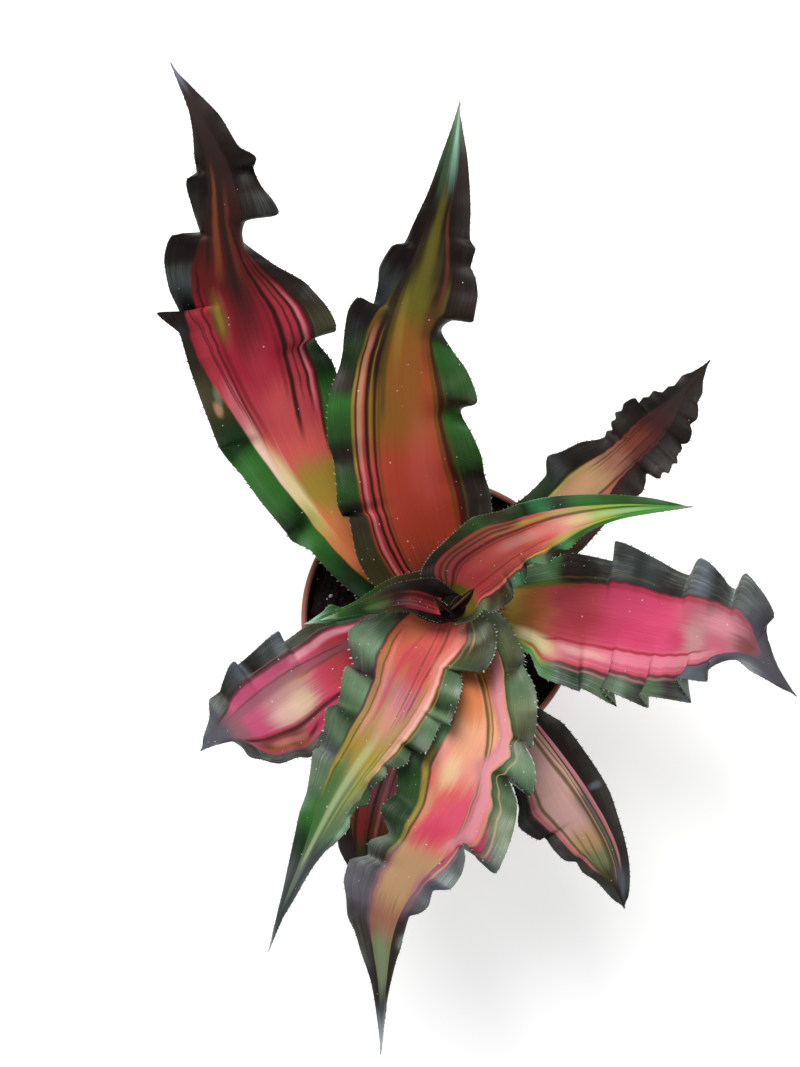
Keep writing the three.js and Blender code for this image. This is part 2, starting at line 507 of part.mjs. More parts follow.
// Soil that fills the pot, with a plain hole that the stem stands in.
function soilGeometry() {
  const innerFoot = POT_FOOT_RADIUS - POT_WALL - CLEARANCE;
  const innerTop = POT_RIM_RADIUS - RIM_LIP - 2 * POT_WALL - CLEARANCE;
  const floor = FOOT_RECESS + POT_WALL + CLEARANCE;
  const surface = [41, 38, 34, 30, 25, 20, 14, 8, 0].map((r) => [r, SOIL_TOP]);
  const geometry = turned([[0, floor], [innerFoot, floor], [innerTop, SOIL_TOP - 2], ...surface], 36);
  const position = geometry.getAttribute("position");
  for (let i = 0; i < position.count; i++) {
    const [x, y, z] = [position.getX(i), position.getY(i), position.getZ(i)];
    if (Math.abs(z - SOIL_TOP) < 0.01) position.setZ(i, SOIL_TOP + soilRelief(x, y));
  }
  const radius = STEM_FOOT_RADIUS + CLEARANCE;
  const hole = new THREE.CylinderGeometry(radius, radius, 40, 24).rotateX(Math.PI / 2);
  hole.translate(STEM_X, STEM_Y, STEM_FOOT - CLEARANCE + 20);
  return geometryOf(solidOf(geometry).subtract(solidOf(hole)));
}

function stemGeometry() {
  const profile = [
    [0, STEM_FOOT], [STEM_FOOT_RADIUS - 0.6, STEM_FOOT], [STEM_FOOT_RADIUS, STEM_FOOT + 1],
    [STEM_FOOT_RADIUS, STEM_WAIST], [STEM_TOP_RADIUS, STEM_TOP - 0.6], [STEM_TOP_RADIUS - 0.6, STEM_TOP],
    [0, STEM_TOP],
  ];
  return turned(profile, 16);
}

function meshOf(name, geometry, colour, roughness) {
  const material = new THREE.MeshStandardMaterial({ color: colour, roughness, metalness: 0 });
  const mesh = new THREE.Mesh(geometry, material);
  mesh.name = name;
  return mesh;
}

const plant = new THREE.Group();
plant.add(meshOf("pot", potGeometry(), 0x9a5f4c, 0.55));
plant.add(meshOf("soil", soilGeometry(), 0x2c211b, 1));
const stem = meshOf("stem", stemGeometry(), 0x6f5b3c, 0.9);
stem.position.set(STEM_X, STEM_Y, 0);
plant.add(stem);
for (const leaf of LEAVES) plant.add(meshOf(leaf.name, bladeGeometry(leaf), leaf.colour, 0.45));
for (const bud of BUDS) plant.add(meshOf(bud.name, budGeometry(bud), bud.colour, 0.5));

export default plant;
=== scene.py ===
"""Earth star bromeliad in a small nursery pot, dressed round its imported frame.

Lengths are in metres, except in the plans and forms of the leaves, which are in millimetres. The origin is
the middle of the pot's flat foot. +Z is up, +X is the plant's right and +Y its back.
"""

from __future__ import annotations

import logging
import math
import random
from dataclasses import dataclass
from enum import Enum
from typing import Iterable, Sequence, Union

import bpy
import numpy as np
from mathutils import Matrix, Vector, noise

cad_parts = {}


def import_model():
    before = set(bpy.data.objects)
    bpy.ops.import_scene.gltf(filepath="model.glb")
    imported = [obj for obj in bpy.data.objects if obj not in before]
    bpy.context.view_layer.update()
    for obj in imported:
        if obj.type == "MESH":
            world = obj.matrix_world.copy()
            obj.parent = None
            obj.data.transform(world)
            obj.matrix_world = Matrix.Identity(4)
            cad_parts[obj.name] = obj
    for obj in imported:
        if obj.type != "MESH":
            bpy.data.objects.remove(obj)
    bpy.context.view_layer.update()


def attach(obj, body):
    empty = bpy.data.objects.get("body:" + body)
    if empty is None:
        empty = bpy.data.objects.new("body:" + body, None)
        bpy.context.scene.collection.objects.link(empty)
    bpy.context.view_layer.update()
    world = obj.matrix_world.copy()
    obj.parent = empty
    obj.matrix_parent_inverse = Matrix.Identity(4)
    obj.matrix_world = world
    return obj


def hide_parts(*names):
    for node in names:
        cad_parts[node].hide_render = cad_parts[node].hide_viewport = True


MM = 0.001
BODY = "root"
FIRST_LEAF_SEED = 1
FIRST_BUD_SEED = 41
PAINTED_PLEAT_LIGHT = "pleat"
STEM_PLACE = (3.0, 5.0)
CLOSING_HALF_WIDTH = 0.2
GREY = (0.5, 0.5, 0.5, 1.0)
SOCKET_KINDS = {float: "NodeSocketFloat", tuple: "NodeSocketColor", type(None): "NodeSocketVector"}
LOG = logging.getLogger("earth_star")

Piece = bpy.types.Object
Socket = bpy.types.NodeSocket
Row = tuple[float, ...]


@dataclass(frozen=True)
class Tint:
    """One colour of the plant, its pot or its soil, as it looks in soft daylight."""

    code: str

    @property
    def rgba(self) -> tuple[float, float, float, float]:
        """The colour as linear light, by the sRGB curve, because shader sockets hold linear light.

        Returns:
            Its red, green, blue and alpha.
        """
        parts = (int(self.code[i : i + 2], 16) / 255 for i in (0, 2, 4))
        linear = [c / 12.92 if c <= 0.04045 else ((c + 0.055) / 1.055) ** 2.4 for c in parts]
        return (linear[0], linear[1], linear[2], 1.0)


SOOT = Tint("180f0d")
COAL = Tint("2a201e")
UMBER = Tint("281c18")
SLATE = Tint("3c4040")
STEEL = Tint("585e68")
LILAC = Tint("787c8c")
ASH = Tint("b4b8bc")
FOREST = Tint("142e10")
MOSS = Tint("26481a")
FERN = Tint("2c6022")
GRASS = Tint("4a8c3a")
JADE = Tint("2e6e44")
VERDIGRIS = Tint("506847")
SAGE = Tint("7c8c72")
FROST = Tint("6e8a68")
LICHEN = Tint("68724e")
# Pale scales, also laid on the lobes' lit crests as painted sheen.
WHITE_SCALE = Tint("c2cec4")
KHAKI = Tint("3a341c")
OLIVE = Tint("645c1e")
OCHRE = Tint("9a8032")
LIME = Tint("96a440")
CELERY = Tint("aec088")
CREAM = Tint("e0cc98")
BLUSH = Tint("e8c4b0")
PEACH = Tint("de9c78")
ORANGE = Tint("cc7648")
AMBER = Tint("985628")
BRONZE = Tint("865820")
TAN = Tint("c49470")
BUFF = Tint("a8845e")
CLAY = Tint("8c5c48")
BRICK = Tint("a83e2c")
BRICK_ROSE = Tint("b04c42")
CORAL = Tint("cc5a52")
RED_ROSE = Tint("b4404a")
CRIMSON = Tint("a02436")
WINE = Tint("7c2a30")
DARK_RED = Tint("641c1c")
MAROON = Tint("381a1a")
RUSSET = Tint("6e3426")
SALMON = Tint("d68a7c")
PETAL = Tint("e496a2")
OLD_PINK = Tint("bc928c")
ROSEWOOD = Tint("b06c74")
HOT_PINK = Tint("ce466a")
CERISE = Tint("bc3058")
MAUVE = Tint("84545e")
MAGENTA = Tint("b84c70")
DUSK = Tint("545058")
MINT = Tint("7cb08c")
PALE_MINT = Tint("a2c4b4")
PLEAT_SHADE = Tint("2c261c")
INK = Tint("2a1410")
SEPIA = Tint("54441a")
TERRACOTTA = Tint("95574a")
TERRACOTTA_DARK = Tint("7a463a")
TERRACOTTA_DARKEST = Tint("2a1510")
PEAT = Tint("120d0a")
BARK = Tint("261b14")
GRIT = Tint("d8d6cc")
STEM_BROWN = Tint("6b563a")
STEM_DARK = Tint("38291b")
PALE_FLOOR = Tint("f0f0ee")


class Line(Enum):
    """What a stripe runs along."""

    MIDRIB = "midrib"
    LEFT_MARGIN = "left"
    RIGHT_MARGIN = "right"


LEFT = Line.LEFT_MARGIN
RIGHT = Line.RIGHT_MARGIN


@dataclass(frozen=True)
class Mark:
    """One mark of colour on a leaf, its fields named as the inputs of the group that draws it."""

    tint: Tint

    def feeds(self) -> dict[str, Union[Tint, float]]:
        """Values of the group's inputs, by name."""
        values = ((key, value) for key, value in vars(self).items() if key != "line")
        return {key.replace("_", " ").title(): value for key, value in values}


@dataclass(frozen=True)
class Stripe(Mark):
    """One lengthwise stripe of a leaf.

    Places are shares of the half-width: along the midrib from -1 at the left edge to 1 at the right edge,
    and along a margin from the inner border of its own colour, outwards positive.
    """

    start: float
    end: float
    half_width: float
    begins: float
    ends: float
    strength: float = 1.0
    line: Line = Line.MIDRIB
    bow: float = 0.0


@dataclass(frozen=True)
class Cloud(Mark):
    """One soft oval patch of colour, placed and sized in shares of the leaf's length and half-width."""

    middle_along: float
    middle_across: float
    half_length: float
    half_width: float
    strength: float = 1.0


Stops = tuple[tuple[float, Tint], ...]
Places = tuple[tuple[float, float], ...]
Feed = Union[Socket, Tint, float, tuple]
Rest = Union[float, tuple, None]


@dataclass(frozen=True)
class Markings:
    """Colours of one leaf.

    centre, left and right are colours from the base, 0, to the tip, 1. inner_left and inner_right say how
    far out from the midrib the margin's own colour begins, as a share of the half-width. spine_gap and
    spine_length are in millimetres.
    """

    centre: Stops
    left: Stops
    right: Stops
    inner_left: Places
    inner_right: Places
    stripes: tuple[Stripe, ...] = ()
    clouds: tuple[Cloud, ...] = ()
    top_clouds: tuple[Cloud, ...] = ()
    # Silvery scales; the lobes' lit crests get more of them as painted sheen.
    silver: float = 0.35
    spine: Tint = SAGE
    spine_gap: float = 2.4
    spine_length: float = 0.8
    specks: float = 0.5
    # How strongly the margin's lobes are painted lit and in shade.
    pleat: float = 0.8
    pale_underside: float = 0.42

    def along(self, line: Line) -> tuple[Stripe, ...]:
        """The stripes that run along one line."""
        return tuple(stripe for stripe in self.stripes if stripe.line is line)


@dataclass(frozen=True)
class LeafPlan:
    """Shape of one leaf in millimetres, as in the solid that it replaces, and its markings.

    midrib lists points of the middle line. left and right list knots of the waved margin: place along the
    leaf, distance from the midrib, lift above the blade, and push towards the tip. A lift or push that is
    left out is 0.
    """

    name: str
    markings: Markings
    midrib: tuple[Row, ...]
    left: tuple[Row, ...]
    right: tuple[Row, ...]


BACK_LEFT_MARKS = Markings(
    # The LILAC ends of centre, left and right are painted sheen of the sky on the dark tip.
    centre=((0, AMBER), (0.14, AMBER), (0.2, ORANGE), (0.27, OCHRE), (0.32, CORAL), (0.39, RED_ROSE),
            (0.48, CRIMSON), (0.58, CRIMSON), (0.64, DARK_RED), (0.74, MAROON), (0.87, UMBER),
            (0.95, COAL), (1, LILAC)),
    # On the left margin the FERN stops are painted highlights on lit lobes, and the FOREST stops between
    # them painted shade at the lobes' boundaries.
    left=((0, FOREST), (0.16, FOREST), (0.22, FERN), (0.25, FOREST), (0.29, FERN), (0.34, FERN),
          (0.38, FOREST), (0.45, KHAKI), (0.55, UMBER), (0.6, SOOT), (0.64, SLATE), (0.69, SOOT),
          (0.75, COAL), (0.8, SOOT), (0.93, COAL), (1, LILAC)),
    right=((0, FOREST), (0.28, FERN), (0.38, FERN), (0.44, FOREST), (0.49, VERDIGRIS), (0.54, KHAKI),
           (0.6, UMBER), (0.85, SOOT), (0.94, COAL), (1, LILAC)),
    inner_left=((0, 0.45), (0.2, 0.44), (0.27, 0.4), (0.36, 0.48), (0.45, 0.66), (0.55, 0.84), (0.6, 0.66),
                (0.68, 0.6), (0.75, 0.4), (0.85, 0.3), (1, 0.2)),
    inner_right=((0, 0.6), (0.3, 0.62), (0.45, 0.76), (0.66, 0.72), (0.75, 0.55), (0.85, 0.36), (1, 0.2)),
    clouds=(Cloud(ORANGE, 0.19, -0.1, 0.06, 0.4), Cloud(CREAM, 0.28, -0.26, 0.07, 0.2, 0.9),
            Cloud(OCHRE, 0.27, 0.2, 0.05, 0.3, 0.8), Cloud(BLUSH, 0.34, -0.42, 0.07, 0.14),
            Cloud(LIME, 0.23, -0.3, 0.035, 0.14, 0.6), Cloud(PETAL, 0.42, -0.5, 0.06, 0.14, 0.5),
            Cloud(CORAL, 0.4, 0.25, 0.05, 0.3, 0.4), Cloud(RED_ROSE, 0.5, 0.1, 0.05, 0.2, 0.4),
            Cloud(MAROON, 0.62, 0.12, 0.12, 0.26, 0.8), Cloud(DARK_RED, 0.54, -0.02, 0.06, 0.16, 0.5)),
    stripes=(
        Stripe(RED_ROSE, -0.5, -0.66, 0.16, 0.36, 0.62, 0.5),
        Stripe(DARK_RED, -0.16, -0.42, 0.04, 0.36, 0.66, 0.6, bow=-0.03),
        Stripe(INK, -0.26, -0.56, 0.026, 0.36, 0.68, 0.7, bow=-0.02),
        Stripe(DARK_RED, -0.32, -0.62, 0.016, 0.38, 0.6, 0.7, bow=-0.02),
        Stripe(INK, -0.4, -0.7, 0.018, 0.4, 0.62, 0.6),
        Stripe(AMBER, -0.14, -0.08, 0.08, 0.64, 0.84, 0.4),
        Stripe(UMBER, -0.34, -0.26, 0.06, 0.66, 0.86, 0.8),
        Stripe(UMBER, 0.1, 0.1, 0.06, 0.6, 0.86, 0.8),
        Stripe(RUSSET, 0.26, 0.2, 0.06, 0.62, 0.8, 0.5),
        Stripe(RED_ROSE, -0.18, -0.18, 0.15, 0.36, 0.64, 0.5, RIGHT),
        Stripe(INK, -0.34, -0.3, 0.036, 0.34, 0.74, 0.95, RIGHT),
        Stripe(DARK_RED, -0.42, -0.38, 0.03, 0.4, 0.7, 0.5, RIGHT),
        Stripe(INK, -0.22, -0.19, 0.016, 0.4, 0.7, 0.7, RIGHT),
        Stripe(INK, -0.12, -0.11, 0.022, 0.38, 0.72, 0.9, RIGHT),
        Stripe(PETAL, -0.07, -0.07, 0.022, 0.38, 0.62, 0.5, RIGHT),
        Stripe(INK, 0, 0, 0.03, 0.3, 0.72, 0.85, RIGHT),
    ),
    top_clouds=(Cloud(OLIVE, 0.575, -0.27, 0.05, 0.14, 0.8), Cloud(OCHRE, 0.575, -0.27, 0.03, 0.06, 0.6),
                Cloud(TAN, 0.435, -0.78, 0.014, 0.08, 0.6), Cloud(SAGE, 0.455, -0.72, 0.018, 0.07, 0.5)),
    silver=0.1,
    spine=COAL,
    specks=0.2,
)

BACK_MARKS = Markings(
    centre=((0, DARK_RED), (0.1, RUSSET), (0.18, BRICK), (0.32, BRICK), (0.42, BRONZE), (0.54, BRONZE),
            (0.63, OLIVE), (0.7, KHAKI), (0.8, SOOT), (0.9, SLATE), (1, SAGE)),
    # On both margins the FERN and MOSS stops are painted highlights on lit lobes, and the UMBER stops
    # between them painted shade.
    left=((0, KHAKI), (0.22, KHAKI), (0.26, UMBER), (0.3, MOSS), (0.35, UMBER), (0.39, MOSS), (0.44, FERN),
          (0.48, UMBER), (0.53, MOSS), (0.58, SOOT), (0.65, SLATE), (0.7, SOOT), (0.84, SOOT),
          (0.93, MOSS), (1, SAGE)),
    right=((0, KHAKI), (0.28, UMBER), (0.34, MOSS), (0.4, FERN), (0.44, UMBER), (0.48, MOSS), (0.53, FERN),
           (0.57, UMBER), (0.78, SOOT), (0.9, COAL), (1, SAGE)),
    inner_left=((0, 0.62), (0.5, 0.68), (0.6, 0.58), (0.68, 0.36), (0.76, 0.16), (0.86, 0.1), (1, 0.3)),
    inner_right=((0, 0.68), (0.3, 0.66), (0.4, 0.6), (0.5, 0.58), (0.6, 0.62), (0.7, 0.6), (0.8, 0.5),
                 (0.9, 0.62), (1, 0.7)),
    # The MINT and PALE_MINT clouds at the tip are the tip's own green with painted sheen on it.
    clouds=(Cloud(CORAL, 0.34, 0.3, 0.12, 0.25, 0.4), Cloud(BRICK, 0.47, 0.42, 0.1, 0.16, 0.6),
            Cloud(AMBER, 0.5, 0.1, 0.12, 0.3, 0.5), Cloud(OCHRE, 0.58, -0.05, 0.08, 0.1, 0.4),
            Cloud(OLIVE, 0.7, 0.1, 0.1, 0.2, 0.5), Cloud(MINT, 0.93, 0.38, 0.08, 0.2, 0.5),
            Cloud(PALE_MINT, 0.96, 0.4, 0.05, 0.16, 0.5), Cloud(RUSSET, 0.6, 0.45, 0.1, 0.1, 0.6)),
    stripes=(
        Stripe(UMBER, -0.4, -0.24, 0.16, 0.46, 0.86, 0.9),
        Stripe(SEPIA, -0.26, -0.2, 0.04, 0.4, 0.66, 0.8),
        Stripe(OLIVE, 0.1, 0.26, 0.1, 0.62, 0.86, 0.5),
        Stripe(SOOT, 0.46, 0.6, 0.12, 0.62, 0.86, 0.8),
        Stripe(SOOT, -0.06, 0.02, 0.1, 0.68, 0.84, 0.7),
        Stripe(MOSS, 0.06, 0.16, 0.14, 0.82, 0.98, 0.6),
        Stripe(FOREST, -0.2, -0.1, 0.14, 0.8, 1, 0.7),
        Stripe(RED_ROSE, -0.1, -0.12, 0.06, 0.04, 0.58, 0.7, LEFT),
        Stripe(OLD_PINK, -0.09, -0.11, 0.025, 0.1, 0.4, 0.4, LEFT),
        Stripe(TAN, -0.08, -0.1, 0.05, 0.34, 0.57, 0.7, LEFT),
        Stripe(CRIMSON, -0.13, -0.15, 0.02, 0.04, 0.4, 0.6, LEFT),
        Stripe(OCHRE, -0.01, -0.01, 0.026, 0.3, 0.54, 0.7, LEFT),
        Stripe(INK, -0.04, -0.05, 0.018, 0.1, 0.58, 0.85, LEFT),
        Stripe(INK, -0.19, -0.2, 0.03, 0, 0.6, 0.95, LEFT),
        Stripe(RED_ROSE, -0.24, -0.26, 0.02, 0, 0.38, 0.7, LEFT),
        Stripe(OCHRE, -0.245, -0.26, 0.016, 0.34, 0.58, 0.5, LEFT),
        Stripe(INK, -0.29, -0.32, 0.024, 0, 0.58, 0.9, LEFT),
        Stripe(SEPIA, -0.35, -0.38, 0.02, 0.04, 0.56, 0.6, LEFT),
        Stripe(SEPIA, -0.09, -0.09, 0.025, 0.1, 0.6, 0.7, RIGHT),
        Stripe(INK, -0.02, -0.02, 0.04, 0.1, 0.62, 0.85, RIGHT),
        Stripe(SEPIA, 0.05, 0.05, 0.02, 0.14, 0.5, 0.6, RIGHT),
        Stripe(RUSSET, -0.08, -0.08, 0.04, 0.6, 0.82, 0.5, RIGHT),
    ),
    silver=0.1,
)

RIGHT_MARKS = Markings(
    centre=((0, DARK_RED), (0.07, RUSSET), (0.12, OCHRE), (0.18, AMBER), (0.24, RED_ROSE),
            (0.32, RED_ROSE), (0.4, HOT_PINK), (0.53, HOT_PINK), (0.66, ROSEWOOD), (0.73, ROSEWOOD),
            (0.81, MAUVE), (0.86, DUSK), (1, DUSK)),
    left=((0, FOREST), (0.16, MOSS), (0.22, FERN), (0.26, UMBER), (0.36, COAL), (0.4, SLATE),
          (0.46, SLATE), (0.54, UMBER), (0.57, COAL), (0.61, STEEL), (0.66, COAL), (0.73, SLATE),
          (0.82, DUSK), (1, DUSK)),
    # On the right margin the VERDIGRIS stops are painted highlights on the lobes' crests, and the COAL
    # stops between them painted shade.
    right=((0, FERN), (0.16, GRASS), (0.23, FERN), (0.26, FOREST), (0.33, FOREST), (0.37, VERDIGRIS),
           (0.4, COAL), (0.44, VERDIGRIS), (0.49, COAL), (0.53, VERDIGRIS), (0.58, COAL), (0.64, STEEL),
           (0.7, DUSK), (1, DUSK)),
    inner_left=((0, 0.55), (0.2, 0.56), (0.4, 0.56), (0.56, 0.56), (0.7, 0.62), (0.78, 0.5), (0.84, 0.2),
                (1, 0.1)),
    inner_right=((0, 0.6), (0.14, 0.62), (0.2, 0.78), (0.25, 0.72), (0.4, 0.7), (0.55, 0.68), (0.66, 0.58),
                 (0.72, 0.36), (0.8, 0.06), (1, 0.06)),
    clouds=(Cloud(ORANGE, 0.2, 0, 0.05, 0.4, 0.4), Cloud(CRIMSON, 0.34, 0.1, 0.1, 0.25, 0.4),
            Cloud(CERISE, 0.44, 0.1, 0.08, 0.25, 0.5), Cloud(PETAL, 0.7, -0.3, 0.07, 0.2, 0.5),
            Cloud(OLD_PINK, 0.63, 0, 0.04, 0.3, 0.6), Cloud(CERISE, 0.57, 0.1, 0.03, 0.2, 0.5),
            Cloud(RUSSET, 0.79, -0.1, 0.04, 0.24, 0.6), Cloud(HOT_PINK, 0.7, 0.1, 0.05, 0.3, 0.4)),
    stripes=(
        Stripe(CREAM, 0.44, 0.56, 0.14, 0.12, 0.25, 0.95),
        Stripe(CELERY, 0.52, 0.64, 0.05, 0.12, 0.22, 0.8),
        Stripe(CRIMSON, -0.05, -0.05, 0.05, 0.26, 0.8, 0.5, LEFT),
        Stripe(OLIVE, -0.03, -0.03, 0.04, 0.1, 0.3, 0.8, LEFT),
        Stripe(FERN, 0.03, 0.03, 0.035, 0.1, 0.26, 0.7, LEFT),
        Stripe(INK, 0, 0, 0.024, 0.22, 0.74, 0.6, LEFT),
        Stripe(OLIVE, 0.085, 0.085, 0.016, 0.14, 0.5, 0.6, LEFT),
        Stripe(PETAL, -0.19, -0.19, 0.16, 0.23, 0.7, 0.5, RIGHT),
        Stripe(BLUSH, -0.24, -0.22, 0.05, 0.24, 0.4, 0.35, RIGHT),
        Stripe(CRIMSON, -0.36, -0.34, 0.024, 0.2, 0.68, 0.9, RIGHT),
        Stripe(CERISE, -0.13, -0.12, 0.03, 0.26, 0.7, 0.5, RIGHT),
        Stripe(RED_ROSE, -0.06, -0.06, 0.03, 0.24, 0.7, 0.6, RIGHT),
        Stripe(INK, -0.01, -0.01, 0.028, 0.22, 0.74, 0.75, RIGHT),
        Stripe(ROSEWOOD, 0.04, 0.04, 0.018, 0.24, 0.6, 0.6, RIGHT),
        Stripe(LIME, 0.03, 0.03, 0.05, 0.12, 0.23, 0.9, RIGHT),
    ),
    silver=0.45,
    specks=0.6,
    pleat=0.95,
)

FRONT_MARKS = Markings(
    # The ASH ends at the tip are painted sheen of the sky on the dark tip.
    centre=((0, RUSSET), (0.12, AMBER), (0.2, ORANGE), (0.3, PEACH), (0.4, SALMON), (0.47, CORAL),
            (0.54, CORAL), (0.6, BUFF), (0.66, BUFF), (0.72, CLAY), (0.78, LICHEN), (0.84, LICHEN),
            (0.9, SLATE), (1, ASH)),
    # On both margins the stops step lighter and darker lobe by lobe: the lighter steps are painted light on
    # the lobes' crests, the darker ones painted shade between them.
    left=((0, LICHEN), (0.1, LICHEN), (0.15, KHAKI), (0.19, VERDIGRIS), (0.24, LICHEN), (0.29, KHAKI),
          (0.33, FROST), (0.37, FOREST), (0.41, VERDIGRIS), (0.46, LICHEN), (0.5, SLATE), (0.54, STEEL),
          (0.58, SLATE), (0.62, STEEL), (0.67, DUSK), (0.72, COAL), (0.86, COAL), (1, ASH)),
    right=((0, SAGE), (0.12, VERDIGRIS), (0.2, FROST), (0.28, VERDIGRIS), (0.32, FROST), (0.38, VERDIGRIS),
           (0.43, FOREST), (0.5, MOSS), (0.54, FOREST), (0.58, MOSS), (0.62, UMBER), (0.68, DUSK),
           (0.75, COAL), (0.88, COAL), (1, ASH)),
    inner_left=((0, 0.34), (0.12, 0.34), (0.2, 0.22), (0.26, 0.34), (0.32, 0.46), (0.37, 0.26),
                (0.42, 0.44), (0.5, 0.6), (0.56, 0.46), (0.62, 0.3), (0.68, 0.12), (0.8, 0.04), (1, 0.1)),
    inner_right=((0, 0.6), (0.3, 0.62), (0.43, 0.58), (0.52, 0.45), (0.6, 0.52), (0.7, 0.54), (0.85, 0.48),
                 (1, 0.35)),
    clouds=(Cloud(ORANGE, 0.22, 0.35, 0.08, 0.25, 0.7), Cloud(PEACH, 0.36, 0.3, 0.07, 0.2, 0.7),
            Cloud(CREAM, 0.42, 0.34, 0.05, 0.14, 0.5), Cloud(HOT_PINK, 0.48, -0.15, 0.06, 0.26, 0.8),
            Cloud(CERISE, 0.54, 0.12, 0.035, 0.32, 0.7), Cloud(HOT_PINK, 0.5, 0.1, 0.035, 0.24, 0.6),
            Cloud(TAN, 0.5, 0.42, 0.05, 0.1, 0.6), Cloud(ROSEWOOD, 0.64, -0.2, 0.04, 0.16, 0.6),
            Cloud(SAGE, 0.81, 0.24, 0.08, 0.2, 0.3)),
    stripes=(
        Stripe(SEPIA, 0.24, -0.42, 0.03, 0.12, 0.56, 0.9, bow=0.11),
        Stripe(TAN, 0.29, -0.38, 0.016, 0.12, 0.54, 0.6, bow=0.11),
        Stripe(OCHRE, 0.2, -0.47, 0.018, 0.12, 0.54, 0.7, bow=0.11),
        Stripe(INK, 0.17, -0.5, 0.012, 0.12, 0.56, 0.7, bow=0.11),
        Stripe(ROSEWOOD, -0.17, -0.2, 0.15, 0.06, 0.56, 0.8, LEFT),
        Stripe(PETAL, -0.12, -0.16, 0.12, 0.14, 0.56, 0.5, LEFT),
        Stripe(TAN, 0, 0, 0.028, 0.08, 0.56, 0.6, LEFT),
        Stripe(INK, 0.05, 0.06, 0.02, 0.08, 0.56, 0.7, LEFT),
        Stripe(MOSS, 0.1, 0.1, 0.05, 0.1, 0.5, 0.5, LEFT),
        Stripe(TAN, 0.18, 0.2, 0.02, 0.28, 0.54, 0.6, LEFT),
        Stripe(CERISE, 0.06, 0.08, 0.06, 0.46, 0.64, 0.7, LEFT),
        Stripe(TAN, 0.16, 0.16, 0.03, 0.5, 0.66, 0.7, LEFT),
        Stripe(MAUVE, 0.24, 0.24, 0.04, 0.48, 0.66, 0.7, LEFT),
        Stripe(OCHRE, 0.06, 0.06, 0.05, 0.38, 0.62, 0.9, RIGHT),
        Stripe(INK, 0, 0, 0.02, 0.36, 0.6, 0.6, RIGHT),
        Stripe(MAUVE, 0, 0, 0.07, 0.58, 0.76, 0.6, RIGHT),
    ),
    top_clouds=(Cloud(MAUVE, 0.66, -0.3, 0.05, 0.3, 0.4),),
    silver=0.45,
    spine=WHITE_SCALE,
    specks=0.6,
    pleat=0.95,
)

